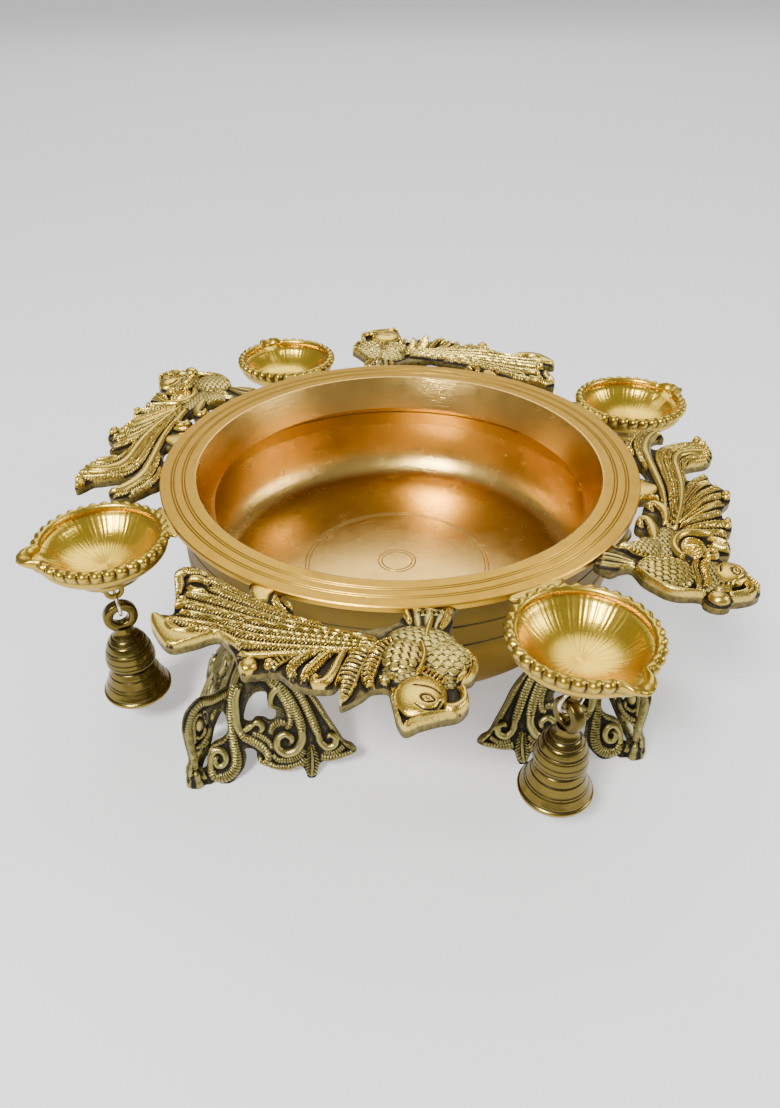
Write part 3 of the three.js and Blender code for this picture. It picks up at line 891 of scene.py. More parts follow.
def run(start: tuple[float, float], end: tuple[float, float], cuts: Sequence[float] = (),
        depth: float = 0.35, width: float = 0.6) -> Array:
    """A straight stretch of a profile with turned grooves, without its last point.

    Each groove is seven points whose depth is depth times (0, 0, 0.7, 1, 0.7, 0, 0), square to the stretch
    and to the right of its heading, with the outer ones to keep the flats flat.

    Args:
        start: Radius and height where it starts.
        end: Radius and height where it ends.
        cuts: Distance of each groove from the start, in order.
        depth: How deep the grooves are cut.
        width: Half width of a groove.

    Returns:
        Rows of radius, height and the share of the groove's depth.
    """
    first = np.asarray(start, dtype=float)
    span = np.asarray(end, dtype=float) - first
    length = float(np.hypot(*span))
    heading = span / length
    shape = np.array([[-1.6, 0], [-1, 0], [-0.5, 0.7], [0, 1], [0.5, 0.7], [1, 0], [1.6, 0]])
    stops = (np.asarray(cuts, dtype=float)[:, None] + shape[:, 0] * width).ravel()
    share = np.tile(shape[:, 1], len(cuts))
    stops = np.concatenate([[0.0], stops])
    share = np.concatenate([[0.0], share])
    left = np.array([-heading[1], heading[0]])
    points = first + stops[:, None] * heading - (share * depth)[:, None] * left
    return np.column_stack([points, share])


def torus(radius: float, wire: float, steps: int = 56, sides: int = 12) -> Shell:
    """A round wire bent to a ring in the plane x = 0: (w sin b, (r + w cos b) cos a, (r + w cos b) sin a).

    Args:
        radius: Radius r of the wire's centre line.
        wire: Radius w of the wire.
        steps: Facets round the ring.
        sides: Facets round the wire.

    Returns:
        The closed skin about the ring's middle.
    """
    section = around(sides)
    grid = revolved(radius + wire * np.cos(section), around(steps)[:, None], wire * np.sin(section))
    return skinned(grid[..., [2, 0, 1]], looped=True)


@dataclass(frozen=True)
class Eye:
    """A cast ring whose hole lies along y, with a rounded box as its section and perhaps a stem on top.

    Attributes:
        radius: Radius of its outside.
        hole: Radius of its hole.
        thick: Thickness along y.
        power: Power that squares its section up.
        steps: Facets round the ring.
        shade_and_patina: Shade-and-patina value all over; below 1 it is painted shade, darker than open
            metal.
        stem: Half width, height and longest reach of the stem, or zeros.
        stem_from: Sine of the angle from which the stem grows.
        sides: Facets round the section.
    """
    radius: float
    hole: float
    thick: float
    power: float
    steps: int
    shade_and_patina: float
    stem: tuple[float, float, float] = (0.0, 0.0, 0.0)
    stem_from: float = 0.12
    sides: int = 20

    def shell(self) -> Shell:
        """The ring about its own middle.

        Round the ring at the angle a it reaches out to R, its radius or the stem's edge. Round the section
        at the angle b it lies at the reach (R + hole) / 2 + (R - hole) / 2 w(cos b) and at the side
        thick / 2 w(sin b), with w as in squared.

        Returns:
            The closed skin.
        """
        angle = around(self.steps)[:, None]
        section = around(self.sides)
        half, tall, most = self.stem
        stem = np.minimum(half / np.maximum(np.abs(np.cos(angle)), 1e-3),
                          tall / np.maximum(np.sin(angle), 1e-3))
        grown = np.clip(stem, self.radius, max(most, self.radius))
        outside = np.where(np.sin(angle) > self.stem_from, grown, self.radius)
        reach = (outside + self.hole) / 2 + (outside - self.hole) / 2 * squared(np.cos(section), self.power)
        side = squared(np.sin(section), self.power) * self.thick / 2
        return skinned(revolved(reach, angle, side)[..., [0, 2, 1]], self.shade_and_patina, looped=True)


@dataclass(frozen=True)
class Bowl:
    """The spun bowl with its turned rim, polished inner cone and dark undercut.

    Attributes:
        rim_radius: Radius of the rim's outer edge.
        rim_inner: Radius where the cone starts.
        rim_thick: Thickness of the rim.
        cone_foot: Radius of the cone's lower edge.
        cone_drop: How far down the cone reaches.
        neck: Outer radius under the rim.
        neck_foot: Height where the neck ends and the belly starts.
        wall: Thickness of the wall.
        floor: Height of the floor's edge inside.
        base: Height of the base's edge.
        steps: Facets round the axis.
        crease: Angle in degrees past which an edge stays sharp.
        brass: Its finish.
    """
    rim_radius: float = 150.0
    rim_inner: float = 127.6
    rim_thick: float = 4.0
    cone_foot: float = 118.8
    cone_drop: float = 22.0
    neck: float = 140.0
    neck_foot: float = 95.0
    wall: float = 3.5
    floor: float = 57.6
    base: float = 54.0
    steps: int = 192
    crease: float = 35.0
    brass: Brass = Brass("bowl_turned_brass", (0.52, 0.275, 0.003), (0.05, 0.038, 0.005), (0.86, 0.56, 0.16),
                         0.36, 0.2, Tooling.TURNED, 0.35, 0.2)

    def inside(self) -> list[Stretch]:
        """The profile from the middle of the floor up to the rim's inner edge.

        Returns:
            Each stretch with its polish and its relief.
        """
        low = RIM_TOP - self.cone_drop
        radius = self.neck - self.wall
        under = RIM_TOP - self.rim_thick - 1
        wall = [(96, self.floor), (110, self.floor), (119, 58.6), (126.3, 63), (131.5, 70), (134.3, 78),
                (136, 88), (radius, 97)]
        return [
            (run((1.5, 60.4), (95.6, self.floor), (9, 11.4, 60, 62.4), 0.3, 0.5), 0.75, 1.0),
            (smooth(wall, 2.5), 0.75, 1.0),
            (run((radius, 97), (radius, under), (10, 24)), 0.2, 1.0),
            (run((radius, under), (self.rim_inner + 2.6, under)), 0.1, 1.0),
            (run((self.rim_inner + 2.6, under), (self.cone_foot + 2.4, low + 0.6)), 0.1, 1.0),
            (np.array([(self.cone_foot + 1.8, low), (self.cone_foot + 0.6, low),
                       (self.cone_foot, low + 0.7)]), 0.8, 1.0),
            (run((self.cone_foot + 0.05, low + 1), (self.rim_inner - 0.5, RIM_TOP - 0.7)), 1.0, 1.0),
            (np.array([(self.rim_inner, RIM_TOP - 0.25), (self.rim_inner + 0.5, RIM_TOP)]), 0.7, 1.0)]

    def outside(self) -> list[Stretch]:
        """The profile from the rim's inner edge to the middle of the underside.

        Returns:
            Each stretch with its polish and its relief.
        """
        edge = self.rim_radius
        under = RIM_TOP - self.rim_thick
        belly = [(self.neck, self.neck_foot), (139.5, 85), (137.4, 75), (134, 67), (129.2, 60.4), (123, 56),
                 (116, 54.1), (106, self.base)]
        return [
            (run((self.rim_inner + 1, RIM_TOP), (edge - 0.7, RIM_TOP), (5.9, 7.5, 12.6, 14.2), 0.4, 0.5),
             0.15, 1.0),
            (np.array([(edge - 0.6, RIM_TOP), (edge, RIM_TOP - 0.6), (edge, under + 0.6),
                       (edge - 0.6, under)]), 0.15, 0.8),
            # From here down the outside takes 0.25 to 0.4: painted shade under the rim, on the neck, belly
            # and base.
            (run((edge - 1, under), (self.neck + 0.6, under)), 0.0, 0.25),
            (run((self.neck, under - 0.6), (self.neck, self.neck_foot), (3.4, 6, 19.6, 33.4), 0.5, 0.7),
             0.0, 0.3),
            (smooth(belly, 2.5), 0.0, 0.34),
            (run((105, self.base), (96, self.base)), 0.0, 0.4),
            (run((95, self.base), (1.5, 56.9), (4, 30, 32.4, 80), 0.35, 0.5), 0.0, 0.4)]

    def shell(self) -> Shell:
        """The bowl about its axis, with relief 1 - 0.75 of a groove's depth times its stretch's own.

        Returns:
            The closed skin.
        """
        parts = self.inside() + self.outside()
        lengths = [len(rows) for rows, _, _ in parts]
        grooves = [rows[:, 2] if rows.shape[1] > 2 else 0 for rows, _, _ in parts]
        # Painted shade with patina: the grooves come out darker.
        shade_and_patina = strung(lengths, [high * (1 - 0.75 * groove) for (_, _, high), groove in zip(parts, grooves)])
        profile = np.vstack([rows[:, :2] for rows, _, _ in parts])
        return turned(profile, self.steps, strung(lengths, [rub for _, rub, _ in parts]), shade_and_patina)


@dataclass(frozen=True)
class Lamp:
    """An oil lamp with a beaded lip, a pulled spout, a stepped foot, a tab to the rim and a lug below.

    Attributes:
        radius: Radius over the beads.
        lip: Radius of the cup at the lip.
        lip_round: Radius of the lip's section.
        depth: Depth of the cup.
        beads: Beads round the lip.
        crimp: Share of the lip's section that is lost between two beads.
        flute: Height of the fine flutes in the cup.
        spout: How far the spout is pulled out.
        spout_reach: Angle over which the pull fades, in radians.
        notch: Depth of the spout's notch.
        notch_reach: Angle over which the notch fades, in radians.
        tab: Knots of the tab, as reach and half width.
        tab_drop: How far under the lip the tab's middle lies.
        tab_thick: Thickness of the tab.
        lug: The lug.
        lug_drop: How far under the lip the lug's hole lies.
        brass: Its finish.
    """
    radius: float = 38.8
    lip: float = 32.5
    lip_round: float = 3.2
    depth: float = 18.5
    beads: int = 34
    crimp: float = 0.6
    flute: float = 0.14
    spout: float = 8.0
    spout_reach: float = 0.19
    notch: float = 1.8
    notch_reach: float = 0.07
    tab: tuple[Knot, ...] = ((149.95, 17), (151.5, 16.6), (154, 14), (156.2, 12))
    tab_drop: float = 1.85
    tab_thick: float = 3.1
    # The lug's shade-and-patina value of 0.45 is painted shade under the cup.
    lug: Eye = Eye(6.0, 3.2, 3.0, 0.45, 72, 0.45, (7.0, 12.5, 13.5))
    lug_drop: float = 38.0
    brass: Brass = Brass("lamp_polished_brass", (0.46, 0.31, 0.05), (0.03, 0.017, 0.002), (1.0, 0.67, 0.06),
                         0.32, 0.2, Tooling.TURNED, 0.25, 0.5)

    def cup(self) -> Shell:
        """The turned cup.

        The lip's section is a circle whose outer half swells by bead(a) = |cos(beads a / 2)|^0.9 at the
        angle a. Near the spout every point of the upper part moves outwards by spout exp(-(a / reach)^4),
        and the lip sinks by notch exp(-(a / reach)^2). The flutes are 0.6 cos 58a + 0.4 cos(83a + 1).

        Returns:
            The cup about its own axis, with its lip at height 0.
        """
        ring = np.linspace(-0.7, 3.9, 17)
        middle = np.array([self.lip + 3.1, -2.0])
        lip = middle + self.lip_round * np.column_stack([-np.cos(ring), np.sin(ring)])
        inner = smooth([(2, -self.depth), (10, -self.depth + 0.4), (17, -self.depth + 2), (23, -13.2),
                        (27.5, -9.2), (30.6, -5.4)], 1.6)
        outer = smooth([(36.0, -6.2), (36.2, -8.2), (34.6, -10.6), (31.5, -13.4), (27.4, -16.4),
                        (24.4, -18.4), (22.4, -19.0)], 1.2)
        foot = np.array([(20.9, -19.2), (20.5, -19.8), (20.5, -23.2), (20.1, -23.9), (18.5, -24.3),
                         (17.8, -25.2), (15, -26.6), (12.7, -27.4), (2, -27.5)])
        profile = np.vstack([inner, lip, outer, foot])
        lengths = [len(inner), len(lip), len(outer), len(foot)]
        outer_half = strung(lengths, (0, np.clip((ring - 1.1) / 0.7, 0, 1), 0, 0))
        in_cup = strung(lengths, (np.linspace(0.2, 1, len(inner)), 0, 0, 0))
        polish = strung(lengths, (np.linspace(1.0, 0.7, len(inner)), np.linspace(0.45, 0.1, len(lip)),
                                  0.1, 0))
        angle = around(self.beads * 10) - math.pi
        near = np.exp(-(angle / self.spout_reach) ** 4)
        bead = np.maximum(np.abs(np.cos(self.beads / 2 * angle)) ** 0.9, near * 0.8)
        gap = outer_half * (1 - bead)
        swell = 1 - self.crimp * gap
        radius = middle[0] + (profile[:, :1] - middle[0]) * swell
        height = middle[1] + (profile[:, 1:] - middle[1]) * swell
        flute = (0.6 * np.cos(58 * angle) + 0.4 * np.cos(83 * angle + 1)) * in_cup
        pull = self.spout * np.clip(1 + height / 12, 0, 1) * near * radius / self.radius
        sunk = np.exp(-(angle / self.notch_reach) ** 2) * np.clip(1 + height / 5, 0, 1)
        sunk = self.notch * sunk * (radius > self.lip - 3)
        groove = np.exp(-((profile[:, 1:] + 6.4) / 0.9) ** 2) * (profile[:, :1] > self.lip + 0.5)
        # Painted shade: darker in the gaps between the beads, in the flutes' troughs and in the groove below
        # the lip outside.
        shade_and_patina = 1 - 0.9 * gap - 0.22 * in_cup * (1 - flute) - 0.7 * groove
        return skinned(revolved(radius + pull, angle, height - sunk + self.flute * flute), shade_and_patina, polish)

    def slab(self) -> Shell:
        """The tab between the rim and the cup: rounded boxes whose half width narrows outwards.

        Returns:
            The closed skin, at the lamp's station on +X.
        """
        stations = smooth(self.tab, 0.8)
        section = around(24)
        level = RIM_TOP - self.tab_drop + self.tab_thick / 2 * squared(np.sin(section), 0.5)
        grid = laid(stations[:, :1], stations[:, 1:] * squared(np.cos(section), 0.4), level)
        return skinned(grid, 0.8, 0.2)

    def shell(self) -> Shell:
        """The whole lamp at its station on +X."""
        body = gathered([self.cup(), self.lug.shell().placed(moved(z=-self.lug_drop))])
        return gathered([body.own_axes().placed(moved(REACH, z=RIM_TOP)), self.slab()])


@dataclass(frozen=True)
class WireRing:
    """The wire ring between a lamp's lug and its bell's eye.

    Attributes:
        middle: Height of its middle.
        radius: Radius of the wire's centre line.
        wire: Radius of the wire.
        brass: Its finish.
    """
    middle: float = 92.75
    radius: float = 7.5
    wire: float = 1.1
    brass: Brass = Brass("ring_bright_wire", (0.78, 0.70, 0.50), (0.3, 0.24, 0.14), (0.85, 0.80, 0.66),
                         0.24, 0.15, Tooling.DRAWN, 0.1, 0.25)

    def shell(self) -> Shell:
        """The ring at its station on +X."""
        return torus(self.radius, self.wire).placed(moved(REACH, z=self.middle))


@dataclass(frozen=True)
class Bell:
    """A turned bell with a flat ring eye and, inside, the staple that holds its clapper.

    Attributes:
        mouth: Height of its mouth.
        eye: The eye.
        eye_middle: Height of the eye's middle.
        staple: The staple.
        staple_middle: Height of the staple's middle.
        groove: Half width of a turned groove.
        brass: Its finish.
    """
    mouth: float = 23.3
    eye: Eye = Eye(10.4, 4.6, 7.0, 0.5, 64, 0.6)
    eye_middle: float = 82.97
    # The staple's value of 0.4 is painted shade inside the bell.
    staple: Eye = Eye(3.4, 1.9, 1.8, 0.8, 28, 0.4)
    staple_middle: float = 64.67
    groove: float = 0.42
    brass: Brass = Brass("bell_turned_brass", (0.15, 0.108, 0.025), (0.008, 0.005, 0.001), (0.42, 0.30, 0.06),
                         0.22, 0.16, Tooling.TURNED, 0.35, 0.6)

    def body(self) -> Shell:
        """The bell's body: a turned profile with grooves exp(-((z - z0) / w)^2) cut into its outside.

        Returns:
            The body about its own axis, with its mouth at height 0.
        """
        outside = smooth([(21.2, 1.2), (21.3, 2.4), (20.4, 3.8), (19.2, 6.2), (17.6, 10), (16.0, 14.4),
                          (14.7, 18.4), (13.6, 21.4), (13.8, 22.8), (15.0, 24.8), (15.3, 27.5), (14.6, 32),
                          (13.3, 36.4), (11.6, 40.4), (9.2, 44), (7.1, 46.6), (5.9, 49.0), (5.5, 52)], 0.32)
        levels = np.array([3.7, 9.4, 11.0, 17.0, 22.0, 26.8, 30.4, 34.8, 36.4, 41.4, 45.0])
        depths = np.array([0.5, 0.3, 0.35, 0.45, 1.1, 0.45, 0.35, 0.3, 0.5, 0.45, 0.5])
        cut = (np.exp(-((outside[:, 1:] - levels) / self.groove) ** 2) * depths).sum(axis=1)
        outside[:, 0] -= cut
        inside = smooth([(18.9, 0.1), (17.8, 3), (15.8, 6.6), (13.4, 11.8), (11.6, 19), (12.2, 24),
                         (12.8, 30), (11.2, 37), (8.4, 41.4), (4, 43.2)], 1.2)[::-1]
        lip = np.array([(20.2, 0), (20.9, 0.3)])
        lengths = [len(inside) + len(lip), len(outside)]
        rubbed = np.interp(outside[:, 1], (0, 3, 6, 24, 52), (0.8, 0.4, 0.1, 0.05, 0.0))
        # Painted shade: the inside takes 0.45 and the grooves less.
        return turned(np.vstack([inside, lip, outside]), 72, strung(lengths, (0.1, rubbed)),
                      strung(lengths, (0.45, np.clip(1 - cut / 0.5, 0, 1))))

    def shell(self) -> Shell:
        """The bell at its station on +X."""
        parts = [self.body(), self.eye.shell().placed(moved(z=self.eye_middle - self.mouth)),
                 self.staple.shell().placed(moved(z=self.staple_middle - self.mouth))]
        return gathered(parts).own_axes().placed(moved(REACH, z=self.mouth))


@dataclass(frozen=True)
class Clapper:
    """A clapper: a wire loop in the bell's staple, a rod and a ball.

    Attributes:
        top: Height of the wire's centre line at the top of its loop.
        loop: Radius of the loop.
        wire: Radius of the loop's wire.
        rod: Radius of the rod.
        ball: Radius of the ball.
        ball_height: Height of the ball's middle.
        brass: Its finish.
    """
    top: float = 63.82
    loop: float = 2.9
    wire: float = 0.7
    rod: float = 1.0
    ball: float = 4.4
    ball_height: float = 29.1
    brass: Brass = Brass("clapper_dull_brass", (0.38, 0.27, 0.1), (0.05, 0.03, 0.01), (0.5, 0.36, 0.14),
                         0.42, 0.3, Tooling.CAST, 0.3, 0.5)

    def shell(self) -> Shell:
        """The clapper at its station on +X: the rod and the ball are one turned profile.

        Returns:
            The closed skins of both.
        """
        angle = np.linspace(-math.pi / 2 + 0.1, math.pi / 2 - 0.26, 16)
        ball = np.column_stack([self.ball * np.cos(angle), self.ball_height + self.ball * np.sin(angle)])
        under = self.top - 2 * self.loop
        rod = np.array([(self.rod * 1.05, self.ball_height + self.ball), (self.rod, under - 1),
                        (self.rod * 0.8, under + 0.2)])
        loop = torus(self.loop, self.wire, 32, 10).placed(moved(z=self.top - self.loop))
        return gathered([turned(np.vstack([ball, rod]), 28), loop]).own_axes().placed(moved(REACH))


@dataclass(frozen=True)
class Peacock:
    """A flat cast peacock, drawn from above: x runs towards its beak and y out from the bowl's axis.

    Attributes:
        outline: Knots of the plate's edge.
        marks: Its feathers, bands and domes.
        low: Height of its underside.
        base: Height of its ground.
        brass: Its finish.
    """
    outline: tuple[Knot, ...]
    marks: tuple[Band | Boss, ...]
    low: float = 132.6
    base: float = 137.4
    brass: Brass = Brass("peacock_cast_brass", (0.58, 0.46, 0.13), (0.016, 0.009, 0.001), (0.90, 0.58, 0.06),
                         0.28, 0.18, Tooling.CAST, 0.4, 0.35)

    def shell(self) -> Shell:
        """The peacock at its station on +X, its head towards +Y: its drawing's x, y become y, x."""
        casting = Casting(self.outline, self.marks, self.low, self.base)
        return casting.shell().placed(np.eye(4)[[1, 0, 2, 3]])


SPREAD_PEACOCK = Peacock((
    (50, 138), (70, 130), (69, 138), (71.5, 143), (72, 152), (76, 156), (83.5, 163), (89.5, 168),
    (90.5, 174), (89.5, 180), (86, 184), (89, 188.5), (91.5, 194), (91.3, 199), (88.5, 204), (81.5, 208.4),
    (75, 213.3), (69.6, 218.6), (65, 215), (61.2, 208), (57, 200), (54.5, 196.5), (48.2, 199), (45, 205),
    (38.7, 213), (36, 208.5), (33, 198.5), (31, 204), (22, 207), (13, 206.5), (4.7, 202.3), (-1, 203.5),
    (-7, 206.5), (-10.5, 208.5), (-14, 206), (-21.5, 196), (-31, 189), (-36, 189.3), (-43.5, 196.5),
    (-53.5, 201.8), (-67.2, 192), (-72.3, 185), (-71, 181.4), (-65, 180), (-63.6, 177.8), (-67, 170),
    (-70.5, 163.5), (-77, 152.5), (-77.8, 147.5), (-76, 142), (-60, 146), (-44.3, 149.6), (-36, 153),
    (-29, 157.5), (-36, 148), (-36, 140), (-20, 140), (-19, 151), (-8, 156), (-5.5, 162), (0, 163),
    (11, 164.5), (22.4, 166.4), (31, 162), (39.6, 157), (45.5, 151)
), (
    # The tail's long feathers
    plain(3.2, 0.6, (-28, 188, 1.4), (-37, 190.4, 3), (-45, 194, 5), (-54, 194.8, 6.6), (-62, 190.6, 6),
          (-68.6, 185.8, 3.4), (-72, 183.2, 1.4)),
    barbed(3.4, 1.8, 0.3, (30, 180, 1.2), (16, 186, 2.3), (2, 191.5, 2.8), (-10, 196, 3),
           (-17, 198.5, 1.6)),
    barbed(3.6, 1.8, 0.3, (44, 176.5, 1.4), (28, 180.5, 2.4), (12, 184.5, 2.8), (-4, 188, 3),
           (-20, 190, 3.2), (-31, 187.4, 3), (-40, 187.6, 3), (-48, 189.6, 1.8)),
    barbed(3.5, 1.8, 0.3, (44, 174.5, 1.4), (25, 177.5, 2.3), (5, 181, 2.8), (-15, 184, 3), (-32, 183, 3.2),
           (-48, 183.5, 3.6), (-58, 184.6, 2.8), (-64, 184, 1.4)),
    barbed(3.3, 1.6, 0.2, (44, 172.6, 1.4), (25, 174.5, 2.2), (5, 177, 2.6), (-15, 178.8, 2.8),
           (-35, 178, 3), (-50, 177.5, 2.8), (-60, 178.2, 1.6)),
    barbed(3.5, 1.7, 0.3, (43, 170.6, 1.4), (25, 171.4, 2), (5, 173, 2.4), (-15, 173.6, 2.8),
           (-35, 172.5, 3.2), (-50, 171.6, 3.6), (-60, 171.2, 3.4), (-66, 172, 1.8)),
    barbed(3.4, 1.7, 0.2, (41, 168.6, 1.4), (25, 169, 1.8), (8, 169.8, 2.2), (-12, 169, 2.6),
           (-32, 166.4, 3), (-48, 163.8, 3.4), (-58, 163.6, 3), (-64, 164.4, 1.6)),
    barbed(3.4, 1.8, 0.3, (12, 166.6, 1.4), (-5, 165.9, 2), (-20, 163.6, 2.4), (-34, 160.6, 2.8),
           (-46, 157.4, 3.2), (-54, 155.4, 2.4)),
    barbed(3.2, 1.7, 0.2, (-12, 162.8, 1.2), (-24, 160, 1.8), (-38, 155.6, 2.4), (-50, 151, 3),
           (-60, 148.8, 2.6)),
    beaded(3.8, 1.4, 0.2, (-56, 146.4, 1.6), (-66, 145.6, 3), (-73, 147, 3.6), (-74.4, 153, 3.8),
           (-70.6, 159.6, 3.4), (-68, 165.6, 2)),
    plain(3.4, 0.5, (-57, 152.4, 1.6), (-63.6, 150.8, 2.4), (-68.6, 153, 2)),
    plain(4.2, 0.5, *spiral((-62.6, 171.6), 150, -0.9, 4, 1.4, 1.5)),
    plain(4.3, 0.5, (-44, 187, 1), (-50, 191.4, 1.8), (-57, 191.6, 1.9), (-61.5, 187.6, 1.2)),
    plain(3.8, 0.5, (-54, 159.6, 1), (-60, 161, 1.9), (-65, 159, 1.6)),
    # The wing's short feathers and buds
    runged(3.7, 2.8, 0.3, (37.4, 213.4, 0.6), (37.6, 208.5, 3), (36.5, 202.5, 4.9), (35.8, 195, 5.3),
           (35.8, 186, 5), (36.6, 177, 4.2), (38, 170, 2.6)),
    plain(3.7, 0.5, (28.8, 180, 1.3), (28.3, 188, 2.1), (28.4, 196, 2.5), (27.2, 202.4, 2.6),
          (23.8, 205, 2.1), (21.8, 202.4, 1.7), (23.6, 199.8, 1.2)),
    barbed(3.5, 1.9, 0.3, (24.4, 181, 1.4), (21, 187, 2.6), (19, 193, 3.1), (17.6, 199, 3.1),
           (18, 204.6, 2.2)),
    barbed(3.5, 1.8, 0.2, (19.4, 182.5, 1.4), (14, 187.4, 2.5), (10.4, 193, 2.8), (9.4, 199, 2.6),
           (12, 204, 2.2)),
    runged(3.4, 2.2, 0.2, (13.6, 185.4, 1.3), (6.6, 190.4, 2.3), (2, 196, 2.6), (0.4, 201.4, 2)),
    plain(4, 0.5, (9, 190.6, 0.8), (-3, 195, 1.2), (-12, 198, 1.3), (-18, 197, 1)),
    plain(3.6, 0.4, (-19.6, 193.6, 1), (-26, 190, 1.5), (-33, 187.4, 1)),
    # Collar, throat, crest and beak
    runged(4.5, 2.9, 0.5, (48, 199.4, 1.6), (45, 195, 3.2), (43.6, 187, 3.9), (43.4, 178, 3.9),
           (45.2, 170.5, 3.3), (49, 165.5, 1.6)),
    runged(4.8, 2.2, 0.7, (79, 187.4, 1.6), (74, 185.2, 2.4), (68.5, 183, 2.4), (63, 181.2, 1.8)),
    lined(3.8, 0.4, (58.4, 197, 1.6), (58.6, 204.5, 2.6), (61.5, 211.5, 3.2), (66, 216.8, 2),
          (68.6, 219.2, 0.6)),
    lined(4, 0.5, (88.5, 204, 1.4), (82, 206.6, 2.4), (75.6, 210.8, 3), (70.6, 215.8, 2),
          (68.2, 219.2, 0.6)),
    plain(4.2, 0.5, (81.5, 202.5, 2.6), (86.8, 201, 3), (89.6, 196, 2.4), (88.4, 190.4, 2),
          (85.4, 187.4, 1.3)),
    lined(3.8, 0.4, (86.2, 184.6, 1.4), (88.6, 179.5, 2), (88.6, 172.5, 2.2), (86.4, 167.2, 2),
          (81.4, 162.8, 1.5)),
    plain(4.2, 0.4, (83.6, 184, 1.1), (85.4, 179, 1.6), (84, 174.5, 1.3)),
    plain(4.9, 0.6, (65.4, 187.6, 1), (66, 180.5, 1.5), (65, 172.5, 1.6), (61, 164.5, 1.4)),
    lined(3.6, 0.2, (50, 194.4, 1.6), (53, 191.6, 2.2), (57, 189.6, 2)),
    # Foot and tab on the rim, and what curls towards it
    lined(2.2, 0.1, (64, 165, 5), (62, 158, 6), (60.5, 151, 7), (59.5, 145, 9), (59, 137, 11)),
    plain(4, 0.6, (63, 163, 1.2), (62, 156, 1.7), (61.6, 149, 1.5), (61.5, 144, 0.8)),
    plain(3.2, 0.7, (52, 151, 1.4), (48.6, 146, 2.2), (46.4, 141.6, 2)),
    lined(3.2, 0.4, (67.6, 152, 1.4), (68.4, 144, 2.2), (68, 135, 2)),
    runged(3.2, 2.2, 0.1, (53, 144, 2), (60, 141.6, 2.4), (67, 139, 2)),
    plain(1.6, 0.8, (-24, 158, 3), (-28, 151, 5.6), (-28.5, 142, 7)),
    lined(3.2, 0.5, (-8.6, 162.4, 1.4), (-13, 160.4, 2.3), (-17, 156.4, 2.4), (-18, 151, 1.8)),
    plain(2.8, 0.4, (-7, 157.6, 1.2), (-10.6, 155.6, 2), (-13, 151, 1.8)),
    # Head with its eye, brow and bill engraved, then breast, belly and knobs
    Boss((70.4, 198.6), (12.2, 13.4), 5.2, polish=0.8, lines=(
        ((75.8, 199.7), (77.6, 201.2), (75.6, 203.2), (73, 203.3), (71.4, 201.4), (73, 199.8),
         (75.8, 199.7)),
        ((80, 200.6), (78.8, 205), (74.6, 207.3), (70.6, 206.2)),
        ((79.4, 196.4), (74.5, 194.9), (66.5, 195.4)),
        ((74.1, 201.5), (75, 201.6)))),
    Boss((56, 176), (11.4, 13), 5, 5, 25, 0.3),
    Boss((76, 172), (12.6, 14.6), 4.6, 5.2, -15, 0.2),
    Boss((63, 164), (19, 13), 3.6, 4.4, 10, 0.1),
    Boss((66, 186), (18, 8), 2.4, 3.4, 20),
    Boss((52.6, 194), (2.6, 2.4), 4),
    Boss((-10.6, 203.2), (4.6, 5), 4, polish=0.7),
    Boss((-1.6, 199.4), (2.8, 3.4), 3.8, polish=0.6)
))


